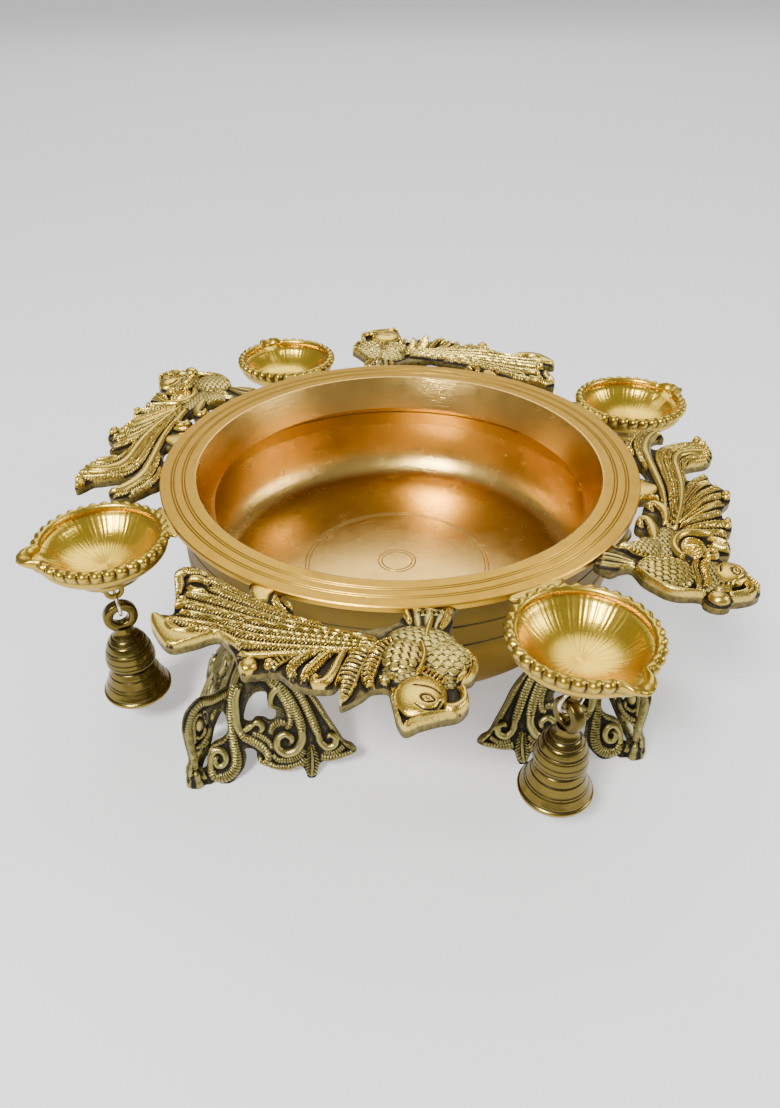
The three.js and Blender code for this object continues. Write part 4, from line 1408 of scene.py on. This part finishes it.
HOOKED_PEACOCK = Peacock((
    (57, 136), (72.5, 131.5), (79, 140), (74, 146), (72, 151.3), (80.5, 157.5), (85, 163.8), (88.3, 170),
    (88.8, 176.3), (86.9, 183), (86.8, 187), (90.5, 188.3), (92.8, 192), (92.3, 197), (89.5, 200.3),
    (86.3, 201), (84.5, 205), (81, 210.3), (76, 214.3), (71, 214.4), (65, 210), (57.5, 206.3),
    (53.8, 202.3), (51.9, 197.5), (47, 194.6), (43.8, 200), (38.8, 200.8), (32, 200), (24, 198.5),
    (20, 201.2), (13, 201.2), (5.5, 196.7), (-4, 197), (-12.5, 200.6), (-18.8, 200.9), (-24.5, 199),
    (-28.5, 195), (-32, 190), (-41, 187), (-33.8, 180), (-31.5, 176.5), (-38, 174), (-45, 174.5),
    (-49, 178), (-55.5, 187), (-64, 190.3), (-72, 190.3), (-80, 187.8), (-82, 184), (-87, 183),
    (-89.3, 180), (-85, 177.4), (-79.5, 175.5), (-76, 170), (-69.5, 160.5), (-66.3, 156.5), (-67, 153.2),
    (-74, 152.2), (-80.5, 155), (-83.5, 160), (-90, 156.5), (-93, 151), (-91, 145.5), (-84, 140.5),
    (-76, 137), (-68, 134), (-47, 141.5), (-40, 148), (-35, 151), (-29, 153.2), (-25, 152.6), (-26, 146),
    (-26, 140), (1, 140), (1.9, 149.5), (-1.2, 156), (0.5, 162.3), (2, 159), (4.4, 154.6), (9.4, 152.6),
    (13.8, 155), (15.2, 159.4), (20, 162), (25.4, 161), (20.5, 157), (19.6, 153), (22.8, 150),
    (27.5, 149.5), (32.5, 150.6), (34.8, 153.5), (40, 156.6), (46.3, 151.3), (52, 144)
), (
    # The tail's long feathers
    barbed(3.4, 1.8, 0.3, (30, 167.6, 1.4), (8, 168.6, 2), (-14, 166.4, 2.4), (-36, 161.4, 2.6),
           (-50, 158.4, 2.8), (-62, 159.4, 3.2), (-70, 165.6, 3.2), (-75, 173, 2.8), (-78, 181, 2.4),
           (-78, 186.6, 1.2)),
    barbed(3.6, 1.8, 0.4, (30, 169.4, 1.4), (6, 170.8, 2), (-16, 169.6, 2.4), (-36, 165.8, 2.6),
           (-50, 163.2, 2.8), (-60, 164, 3), (-67.5, 169.6, 3), (-71.5, 177, 2.8), (-73, 184, 2.2),
           (-72, 189, 1.2)),
    plain(3.8, 0.5, (30, 171, 1.4), (4, 173, 2), (-18, 172.8, 2.4), (-36, 170.2, 2.6), (-49, 168, 2.8),
          (-58.5, 169.4, 3.4), (-64.5, 175.4, 3.6), (-67, 182, 3), (-66.5, 188.6, 1.6)),
    plain(4, 0.5, *spiral((-80.6, 184), 90, 1.1, 3.6, 1.2, 1.4)),
    barbed(3.6, 1.7, 0.3, (-26, 174.6, 1.2), (-40, 172.6, 2.2), (-51, 173, 2.8), (-58.5, 177.6, 2.9),
           (-61, 183.4, 2.4), (-60.6, 188.6, 1.2)),
    plain(3.4, 0.5, (-44, 175, 1), (-50.6, 178.6, 1.8), (-54.6, 183, 1.8), (-57, 187, 1)),
    plain(3.5, 0.4, (12, 165, 1.2), (-8, 162.6, 1.9), (-24, 158.8, 2.4), (-38, 154.8, 2.6),
          (-50, 151.6, 2.8), (-62, 149, 3.3), (-74, 149.6, 3.4), (-84, 153, 3), (-87.4, 157.2, 1.6)),
    barbed(3.4, 1.8, 0.3, (-36, 151.8, 1.2), (-50, 147, 2.2), (-62, 144, 2.8), (-74, 144.2, 3),
           (-85, 147.4, 2.8), (-91, 152, 1.4)),
    barbed(3, 1.7, 0.2, (-52, 142, 1.2), (-64, 138.4, 2.2), (-76, 139.4, 2.6), (-86, 143, 2)),
    plain(3.9, 0.5, (-5, 166.6, 0.8), (-24, 164, 1.2), (-44, 159.8, 1.2), (-56, 157, 0.8)),
    # The wing's short feathers and buds
    barbed(3.6, 1.8, 0.3, (31, 181, 1.4), (27.5, 188, 2.8), (25.8, 194.6, 2.8), (27, 198.4, 1.8)),
    barbed(3.8, 2, 0.3, (29, 175.5, 1.4), (22, 184, 2.8), (17.5, 191.5, 3.2), (15.8, 198.4, 2.8)),
    barbed(3.5, 1.8, 0.2, (27, 173.8, 1.3), (15, 182.5, 2.6), (7.4, 190, 3), (3.4, 195.4, 2)),
    barbed(3.6, 1.8, 0.3, (25, 172.8, 1.2), (9, 181.5, 2.4), (-2, 189.5, 2.8), (-7, 195.6, 2)),
    barbed(3.5, 1.8, 0.2, (22, 172.4, 1.2), (4, 180, 2.3), (-9, 187.5, 2.8), (-16.5, 195.6, 2.8)),
    barbed(3.6, 1.8, 0.3, (18, 172, 1.2), (0, 178.2, 2.2), (-15, 185, 2.8), (-25.6, 193.4, 2.4)),
    lined(3.5, 0.4, (12, 172, 1.2), (-8, 177.3, 2.2), (-22, 182, 2.6), (-30, 188.3, 2)),
    barbed(3.4, 1.7, 0.2, (6, 172.6, 1.2), (-12, 175.8, 2), (-26, 179.2, 2.4), (-37.6, 186, 1.8)),
    plain(4.4, 0.7, (27, 173.4, 0.8), (6, 186, 1.1), (-6, 193, 0.8)),
    plain(4.2, 0.6, (24, 172.8, 0.8), (-2, 184.6, 1), (-14, 191.6, 0.8)),
    # Collar, throat, crest and beak
    runged(3.8, 1.7, 0.6, (36, 180, 3), (41, 180.6, 6.4), (46, 181, 7.2), (51, 180.2, 6), (55, 178.6, 3.4)),
    plain(4.6, 0.6, (31, 191, 1.5), (30.6, 184, 2.4), (32.6, 177, 2.8), (38, 172.4, 2.8), (46, 170.8, 2.6),
          (53, 172.8, 2.4), (58.5, 176.5, 1.6)),
    plain(4.2, 0.5, *spiral((49, 189.8), -60, 1.2, 4.2, 1.2, 1.7)),
    lined(4, 0.4, (33, 188, 1.6), (35, 193.5, 2.6), (36.6, 199, 2.4)),
    plain(4.2, 0.3, (40, 189.4, 1.6), (41, 194.6, 2.6), (41.6, 199.4, 2.2)),
    runged(4.6, 2.2, 0.6, (54.5, 189, 1.6), (61, 186.6, 2.4), (68, 187.4, 2.4), (75, 188.4, 2.2),
           (81, 188, 1.5)),
    lined(4.2, 0.3, (56, 183.6, 1.4), (63, 182, 2.1), (71, 183, 2.1), (79, 184.6, 1.8), (84.5, 184.4, 1.1)),
    lined(4.6, 0.4, (69.5, 206.6, 1.6), (74, 209.8, 3), (79, 208.2, 3.4), (82.5, 203.4, 3),
          (84.5, 198.6, 2)),
    beaded(4, 2.2, 0.4, (61, 207.4, 1), (66, 210, 1.7), (71, 212.6, 1.8), (76.5, 212.6, 1.2)),
    runged(4.8, 2, 0.3, (71, 204, 1.2), (74.6, 199, 2), (75, 193.4, 1.8)),
    lined(4, 0.2, (79, 201, 1.8), (80.4, 196, 2.4), (80, 191.4, 2)),
    plain(3.8, 0.4, (84.5, 188.6, 1.6), (86, 183.5, 2), (86.8, 177.5, 2.2), (86.4, 171, 2.2),
          (83.6, 164.6, 2), (79, 158.8, 1.7), (73.5, 154, 1.2)),
    # Foot and tab on the rim, and what curls towards it
    lined(2.6, 0.2, (70, 153, 2.6), (69.5, 147, 5), (69, 141, 7), (69, 134, 7)),
    runged(4.2, 2.2, 0.3, (59, 169, 1.2), (60.6, 161, 1.8), (59, 153, 1.8), (56, 147.4, 1.2)),
    lined(3, 0.3, (54, 151.4, 2.6), (54.4, 147, 2.6), (54.6, 142, 1.8)),
    plain(1.6, 0.8, (-16, 159.6, 3), (-14, 154, 7.6), (-12.6, 147, 11)),
    plain(3.4, 0.3, (-1.4, 161, 1.2), (-1.6, 155.6, 1.7), (0, 149.6, 1.5)),
    plain(3.4, 0.5, (26, 165.6, 1.6), (16, 165.4, 2.6), (8.8, 163.6, 3.2), (5.2, 158.8, 3), (8, 155.6, 2.4),
          (11, 157.6, 1.6)),
    plain(3.4, 0.5, (45, 161, 1.8), (37.6, 160.2, 3), (31, 159, 3.4), (24.6, 156, 3), (23.4, 152.8, 2.4),
          (27.4, 151.4, 2), (30.6, 153.4, 1.6)),
    # Head with its eye, brow and bill engraved, then breast, belly and knobs
    Boss((64.4, 200.2), (10.6, 9), 5.2, polish=0.8, lines=(
        ((61.2, 202), (63.2, 203.9), (66, 203.8), (68, 201.8), (66, 200.1), (63.2, 200.2), (61.2, 202)),
        ((59.6, 203.4), (62, 206), (66.4, 206.4), (70, 204)),
        ((57.4, 196.6), (61, 194.6), (66.4, 194.6)),
        ((64.2, 202), (65.1, 202.1)))),
    Boss((71.6, 168.4), (15, 16), 4.8, 4.4, 60, 0.2),
    Boss((51.4, 157.4), (10.4, 10.6), 3.4, 3.4, 40, 0.1),
    Boss((44, 167), (17, 9), 2.8, 3, 30, 0.1),
    Boss((69, 190), (17, 9), 2.4, 3, 20),
    Boss((87.2, 194.4), (5.2, 5.6), 4.8, polish=0.5),
    Boss((-84.4, 180.2), (4.4, 2.8), 3.6, polish=0.5),
    Boss((-17, 198.2), (4.6, 2.8), 4.2, polish=0.5),
    Boss((14, 198.8), (5.2, 2.6), 4.2, polish=0.5)
))


@dataclass(frozen=True)
class Foot:
    """A filigree corner foot: two leaning wings in a right angle, a scroll on their fold and a knot below.

    A wing is drawn on its own plane: x runs from the fold along the floor and y up the slope.

    Attributes:
        reach: Distance of the fold's foot from the bowl's axis.
        spread: Angle between a wing and the radius, in degrees.
        lean: How far a wing leans in over the floor, in degrees.
        edge: Knots of a wing's edge.
        heart: Knots of its opening.
        scrolls: Its carved bands and domes.
        fin_edge: Knots of the scroll on the fold, as reach and height.
        fin_eye: Knots of its opening.
        fin_scrolls: Its carved bands and domes.
        lobes: Lobes round the knot.
        lobe_swell: How far a lobe swells, as a share of the knot's radius.
        knot_in: How far the knot's middle lies inside the fold's foot.
        brass: Its finish.
    """
    reach: float = 194.2
    spread: float = 45.0
    lean: float = 25.0
    edge: tuple[Knot, ...] = (
        (-2, 0), (9, -1), (14, 1.2), (18, -0.5), (23.5, 0), (31, 8), (33.5, 15), (33, 20.5), (36, 21.5),
        (39.5, 19.5), (40, 15), (42, 11), (47, 8.3), (53, 6.5), (59, 6.2), (65, 8.2), (68, 5.5), (70, 0),
        (74.5, 0), (78, 9), (84, 10.2), (91, 11.8), (100, 15.3), (98, 20), (93, 23), (89, 30), (84, 39),
        (79, 49), (73, 57), (66, 64.5), (60, 70.5), (52, 76.5), (44, 79.2), (36, 79), (30, 74), (27, 65),
        (22, 54), (19.5, 48), (23, 44), (23.8, 34), (20, 29), (14, 26), (10.5, 20), (9.8, 13), (7, 10),
        (1, 12))
    heart: tuple[Knot, ...] = (
        (34, 40), (38, 38.5), (41, 41), (46, 40.5), (49, 38.5), (52.5, 40), (53, 45), (49.5, 47), (48.5, 52),
        (48, 56.5), (42, 56.5), (37.5, 52), (35, 46))
    scrolls: tuple[Band | Boss, ...] = (
        # Low scaled domes fill the ground, their shade of 0.5 painting it darker: painted shade between the
        # bands.
        Boss((64, 34), (34, 36), 0.7, 2.2, 20, shade=0.5),
        Boss((20, 28), (18, 36), 0.7, 2.2, -20, shade=0.5),
        beaded(2.6, 1.7, 0.2, (31, 64, 2.6), (28, 55, 2.8), (26.6, 45, 2.9), (26.2, 35, 3), (27, 25, 3.2),
               (27.6, 15, 3.5), (25.4, 8, 3.5), (19.5, 4.2, 3.5), (13.6, 5.6, 3.2), (11.8, 11, 2.8)),
        plain(2.8, 0.5, (12, 9, 2.1), (12, 16, 2.3), (15, 21.6, 2.4), (19.6, 21.4, 2.3), (21.6, 16.6, 2.2),
              (19.6, 12.4, 2.1), (16, 12.6, 2), (15, 16.4, 1.7), (17.2, 18.6, 1.4)),
        plain(2.8, 0.5, (33, 62, 1.9), (30.2, 54, 2.3), (29.6, 46, 2.6), (29.8, 38, 2.7), (31.8, 31.6, 2.6)),
        beaded(2.7, 1.7, 0.3, (30.4, 34, 2.3), (33.5, 29.6, 3), (38.4, 26.6, 3.2), (43.4, 22.6, 3.1),
               (46.8, 17, 2.9), (45.4, 12.8, 2.4), (42.2, 13.2, 2), (42.2, 16.4, 1.5)),
        plain(2.9, 0.4, (33, 33, 1.6), (36.4, 35.4, 2.3), (40, 38.6, 2.6), (43.6, 37.6, 2.3),
              (44.4, 34.2, 2), (42, 32, 1.4)),
        beaded(2, 1.6, 0, (38, 31.5, 1.6), (43, 29.5, 2.3), (48, 25, 2.3), (50, 20, 1.9)),
        plain(2.8, 0.4, (58, 60, 1.6), (53.6, 58, 2.3), (50.6, 53.4, 2.4), (50.4, 48.8, 2.2),
              (53, 47.2, 1.6)),
        beaded(2.4, 1.6, 0.1, (50, 64, 2.1), (55, 57.6, 2.4), (59.4, 50, 2.6), (61.6, 42, 2.4),
               (61, 35.4, 2.1), (57.6, 33.4, 1.6)),
        beaded(3, 1.7, 0.3, (40, 66, 2.3), (48, 66.6, 3.2), (55, 62, 3.5), (61, 54, 3.5), (65.2, 44, 3.5),
               (67.6, 35, 3.4), (68, 29, 2.8)),
        plain(3.1, 0.5, (68.2, 33, 2.3), (67.6, 25, 2.8), (63.6, 18.8, 2.9), (57.4, 17.4, 2.8),
              (53, 21.4, 2.6), (53.4, 27, 2.4), (57.6, 29.8, 2.3), (61.6, 27, 2), (60.6, 23.2, 1.5)),
        beaded(2.8, 1.8, 0.2, (47, 71, 2.3), (56, 68.4, 3), (64, 61, 3.1), (69.6, 51, 3.1), (73.4, 41, 3.1),
               (76.4, 32, 2.9), (78, 27, 2.3)),
        plain(3, 0.4, (77.4, 31, 1.9), (78.6, 24, 2.4), (82.6, 19.8, 2.6), (87.2, 21.2, 2.4),
              (87.8, 25.8, 2.1), (84.4, 27.6, 1.6), (82.8, 25.2, 1.2)),
        beaded(2.4, 1.6, 0.1, (52, 75.4, 2.1), (61, 71, 2.6), (70, 62, 2.7), (77, 51, 2.7), (83, 40, 2.7),
               (88, 31, 2.6)),
        lined(2, 0.1, (64, 68, 1.4), (73, 58, 1.9), (81, 45.6, 2.1), (88, 32.4, 2.3), (94, 23, 2.8),
              (99.6, 17, 1.9)),
        beaded(2.4, 1.9, 0, (98.4, 15.4, 2.1), (91, 13, 2.8), (84, 12.4, 2.8), (77.6, 14, 2.3)),
        beaded(2, 1.6, 0, (93, 19.6, 1.9), (86.6, 15.8, 2.1), (79.6, 17, 1.9)),
        barbed(3, 2, 0.2, (73, 22, 1.9), (73.4, 15, 3.9), (73, 8, 4.6), (72.2, 2.8, 2.8), (72, 1.2, 0.9)),
        beaded(2.4, 1.7, 0.1, (46, 12.6, 2.3), (51, 8.8, 2.8), (58, 7.8, 2.9), (65, 9.4, 2.9),
               (69.8, 13.4, 2.3)),
        beaded(2.2, 1.6, 0, (49.4, 17, 1.9), (53.4, 13.4, 2.3), (60, 12.8, 2.3), (66.4, 15.4, 2.3),
               (69.4, 19.4, 1.9)),
        lined(2.2, 0.1, (57, 72.4, 1.9), (50, 75.6, 2.6), (43, 76.8, 2.8), (36.6, 75.4, 2.8),
              (32, 69.5, 2.6), (28.6, 61, 2.1), (24.4, 53, 1.9)),
        beaded(2.4, 2, 0.2, (0, 3.5, 3.9), (4, 6.2, 4.9), (9, 8, 3.7)),
        beaded(2.2, 1.7, 0.1, (11, 22, 2.1), (15.4, 26.4, 3), (20.6, 29.6, 3.2), (24, 34.6, 2.3)),
        beaded(2.1, 1.5, 0, (49, 30, 1.9), (51, 35, 2.3), (55.6, 37.2, 2.6), (59.6, 36, 1.9)))
    fin_edge: tuple[Knot, ...] = (
        (197, 4), (195.5, 14), (192.5, 22), (193, 36), (192.5, 50), (188, 59), (178, 62), (168, 57),
        (156.5, 56), (160, 48), (166, 44), (170, 46), (173, 40), (172, 33), (176, 26), (184, 25),
        (187.5, 20), (188, 10), (186, 3))
    fin_eye: tuple[Knot, ...] = ((177.4, 51), (175, 48.6), (174.5, 44), (176.6, 38), (177.6, 44))
    fin_scrolls: tuple[Band | Boss, ...] = (
        beaded(1.9, 1.7, 0.2, (190.6, 12, 2.6), (190.2, 20, 3), (190.4, 29, 3), (190.3, 38, 3),
               (189.4, 47.4, 3), (185.2, 55.2, 3), (178, 58.4, 3), (169.6, 54.6, 2.8), (160, 52.6, 2.6)),
        beaded(2, 1.6, 0.2, (187.6, 33, 1.2), (186.8, 41, 1.5), (185.6, 49, 1.5), (181.6, 53, 1.4),
               (179.2, 49.6, 1)),
        beaded(2, 1.6, 0.2, (178.8, 40, 0.9), (180, 36, 1.4), (184, 35.2, 1.4), (186.6, 39, 1)),
        beaded(1.8, 1.9, 0.1, (188, 29, 1.6), (182.6, 28.6, 2.2), (177.6, 32.4, 2.2), (175.4, 37, 1.4)),
        beaded(1.9, 1.6, 0, (189, 25, 1.2), (182, 26.2, 1.4), (177.6, 28, 1.2)),
        beaded(2.2, 3.4, 0.4, (195, 10, 1.4), (194.4, 17, 1.5), (193.4, 24, 1.3)),
        Boss((182.3, 44.2), (3, 5), 2.1, polish=0.5),
        Boss((191.4, 24.4), (1.9, 2.2), 2.2, polish=0.5),
        Boss((172, 42.5), (1.8, 3.6), 2, polish=0.4),
        Boss((190, 7.6), (4.6, 4.8), 2.2, 2.4))
    lobes: int = 5
    lobe_swell: float = 0.06
    knot_in: float = 3.25
    brass: Brass = Brass("foot_antique_brass", (0.27, 0.225, 0.075), (0.008, 0.005, 0.001),
                         (0.54, 0.46, 0.15), 0.34, 0.26, Tooling.CAST, 0.4, 0.5)

    def wing_place(self) -> Array:
        """The matrix that puts a wing's drawing at its place on the +Y side of the fold.

        Returns:
            Its columns are the way along the floor, the way up the slope, their normal and the fold's foot.
        """
        spread = math.radians(self.spread)
        lean = math.radians(self.lean)
        along = np.array([-math.cos(spread), math.sin(spread), 0])
        outward = np.array([math.sin(spread), math.cos(spread), 0])
        rise = np.array([0, 0, math.cos(lean)]) - math.sin(lean) * outward
        place = np.eye(4)
        place[:3, :4] = np.column_stack([along, rise, np.cross(along, rise), [self.reach, 0, 0]])
        return place

    def fin(self) -> Shell:
        """The scroll on the fold, carved on both faces, in the plane y = 0."""
        casting = Casting(self.fin_edge, self.fin_scrolls, low=0.0, base=0.9, holes=(self.fin_eye,), ease=0.4,
                          cell=0.45, twin=True)
        return casting.shell().placed(spun(90, "X"))

    def knot(self) -> Shell:
        """The knot on the floor: a turned bud with soft lobes, r (1 + swell cos(lobes a)).

        Returns:
            The closed skin at its place.
        """
        profile = smooth([(3.5, 0), (5.9, 0.3), (6.4, 2), (5.8, 4.6), (4.9, 6.6), (5.3, 8.6), (4.4, 11.2),
                          (2.2, 12.6)], 0.5)
        angle = around(40)
        wave = np.broadcast_to(np.cos(self.lobes * angle), (len(profile), len(angle)))
        grid = revolved(profile[:, :1] * (1 + self.lobe_swell * wave), angle, profile[:, 1:])
        # Painted shade: darker in the creases between the lobes.
        return skinned(grid, 0.6 + 0.4 * wave, 0.1).placed(moved(self.reach - self.knot_in))

    def shell(self) -> Shell:
        """The foot at its station, its fold towards +X, pressed flat on the floor.

        Returns:
            The closed skins of its two wings, its fin and its knot.
        """
        wing = Casting(self.edge, self.scrolls, low=-2.6, base=0.2, holes=(self.heart,), ease=0.8, cell=0.45)
        left = wing.shell().placed(self.wing_place())
        whole = gathered([left, left.placed(flipped()), self.fin(), self.knot()])
        whole.points[:, 2] = np.maximum(whole.points[:, 2], 0)
        return whole


@dataclass(frozen=True)
class Softbox:
    """A white area light.

    Attributes:
        name: Its name.
        place: Where it stands, in metres.
        size: Its side, in metres.
        power: Its power, in watts.
    """
    name: str
    place: Place
    size: float
    power: float

    def light(self, aim: Vector) -> None:
        """Sets the light up, turned towards the aim.

        Args:
            aim: The point that it faces.
        """
        lamp = bpy.data.lights.new(self.name, "AREA")
        lamp.size = self.size
        lamp.energy = self.power
        holder = bpy.data.objects.new(self.name, lamp)
        holder.location = self.place
        holder.rotation_euler = (aim - Vector(self.place)).to_track_quat("-Z", "Y").to_euler()
        bpy.context.scene.collection.objects.link(holder)


@dataclass(frozen=True)
class Studio:
    """The camera, the lights and the pale floor.

    Attributes:
        eye: The camera's place, in metres.
        aim: The point that its axis passes through.
        roll: Its turn about its axis, in degrees.
        sensor: Width of its sensor, in millimetres.
        focal: Focal length in pixels of the photograph.
        axis: Where its axis meets the photograph, in pixels from the left and the top.
        picture: Width and height of the photograph, in pixels.
        lights: The softboxes.
        sky: Strength of the sky's light.
        floor: Half the floor's side, in metres.
        floor_glow: Strength of the floor's own light.
    """
    eye: Place = (-0.2224, -0.4112, 0.3985)
    aim: Place = (-0.0576, -0.0716, 0.1)
    roll: float = -1.04
    sensor: float = 36.0
    focal: float = 824.4
    axis: tuple[float, float] = (368.2, 595.7)
    picture: tuple[int, int] = (780, 1108)
    lights: tuple[Softbox, ...] = (
        Softbox("key_light", (-1.2, -0.8, 1.6), 0.5, 58),
        Softbox("fill_light", (1.5, -1.0, 1.1), 0.6, 14),
        Softbox("back_light", (1.6, 2.8, 4.2), 4.4, 150))
    sky: float = 0.3
    floor: float = 30.0
    floor_glow: float = 0.42

    def camera(self) -> None:
        """Sets the camera: its axes come from the aim and the roll, its shift from the picture's axis."""
        ahead = (Vector(self.aim) - Vector(self.eye)).normalized()
        level = ahead.cross(Vector((0, 0, 1))).normalized()
        turn = math.radians(self.roll)
        right = level * math.cos(turn) + level.cross(ahead) * math.sin(turn)
        wide, tall = self.picture
        camera = bpy.data.cameras.new("photo_camera")
        camera.sensor_width = self.sensor
        camera.lens = self.sensor * self.focal / tall
        camera.shift_x = (wide / 2 - self.axis[0]) / tall
        camera.shift_y = (self.axis[1] - tall / 2) / tall
        holder = bpy.data.objects.new("photo_camera", camera)
        place = Matrix((right, right.cross(ahead), -ahead)).transposed().to_4x4()
        place.translation = self.eye
        holder.matrix_world = place
        bpy.context.scene.collection.objects.link(holder)
        bpy.context.scene.camera = holder

    def room(self) -> None:
        """Lays the floor and sets the sky's light."""
        shader = Shader("pale_floor")
        material = shader.finished({"Base Color": (0.85, 0.85, 0.85, 1), "Roughness": 0.6,
                                    "Emission Color": (1, 1, 1, 1), "Emission Strength": self.floor_glow})
        mesh = bpy.data.meshes.new("floor")
        corners = [(x * self.floor, y * self.floor, 0) for x, y in ((-1, -1), (1, -1), (1, 1), (-1, 1))]
        mesh.from_pydata(corners, [], [(0, 1, 2, 3)])
        mesh.materials.append(material)
        floor = bpy.data.objects.new("floor", mesh)
        bpy.context.scene.collection.objects.link(floor)
        world = bpy.data.worlds.new("studio_sky")
        bpy.context.scene.world = world
        world.use_nodes = True
        sky = world.node_tree.nodes["Background"]
        sky.inputs["Color"].default_value = (1, 1, 1, 1)
        sky.inputs["Strength"].default_value = self.sky

    def build(self) -> None:
        """Sets up the whole studio."""
        self.camera()
        self.room()
        for softbox in self.lights:
            softbox.light(Vector(self.aim))


def attach(piece: bpy.types.Object, body: str, node: str) -> None:
    """Lets a piece ride on its body and stand for its CAD node, whose part it hides.

    Args:
        piece: The piece.
        body: The body that carries it.
        node: The CAD node that it stands for.
    """
    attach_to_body(piece, body)
    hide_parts(node)
    LOG.info("%s rides on %s with %d faces", piece.name, body, len(piece.data.polygons))


Part = Lamp | WireRing | Bell | Clapper | Peacock | Foot


@dataclass(frozen=True)
class Dressing:
    """One kind of piece and where its copies go.

    Attributes:
        kind: The name of its nodes, without their number.
        make: How it is made, for its objects' names.
        parts: The part, or the two versions that take turns.
        slot: The record's material slot; not used.
        offset: Angle of the first station, in degrees.
        hangs: Whether each copy rides on a body of its own.
    """
    kind: str
    make: str
    parts: tuple[Part, ...]
    slot: str
    offset: float = 0.0
    hangs: bool = False

    def dress(self) -> None:
        """Builds the copies at their stations. A second version is mirrored, so it faces the other way."""
        material = self.parts[0].brass.material()
        shells = [part.shell() for part in self.parts]
        for number in range(STATIONS):
            version = number % len(self.parts)
            drawn = shells[version].placed(flipped()) if version else shells[version]
            shell = drawn.placed(spun(number * 360 / STATIONS + self.offset))
            node = f"{self.kind}_{number + 1}"
            piece = mesh_object(f"{node}_{self.make}", shell, material)
            attach(piece, node if self.hangs else "root", node)


def main() -> None:
    """Builds the studio and every piece."""
    logging.basicConfig(level=logging.INFO, format="%(name)s: %(message)s")
    Studio().build()
    bowl = Bowl()
    attach(mesh_object("bowl_turned", bowl.shell(), bowl.brass.material(), bowl.crease), "root", "bowl")
    for dressing in (
            Dressing("lamp", "cast", (Lamp(),), "lamp_brass"),
            Dressing("ring", "wire", (WireRing(),), "ring_wire", hangs=True),
            Dressing("bell", "turned", (Bell(),), "bell_brass", hangs=True),
            Dressing("clapper", "cast", (Clapper(),), "clapper_brass", hangs=True),
            Dressing("peacock", "carved", (SPREAD_PEACOCK, HOOKED_PEACOCK), "peacock_brass", 45.0),
            Dressing("foot", "filigree", (Foot(),), "foot_brass", 22.5)):
        dressing.dress()


if __name__ == "__main__":
    main()
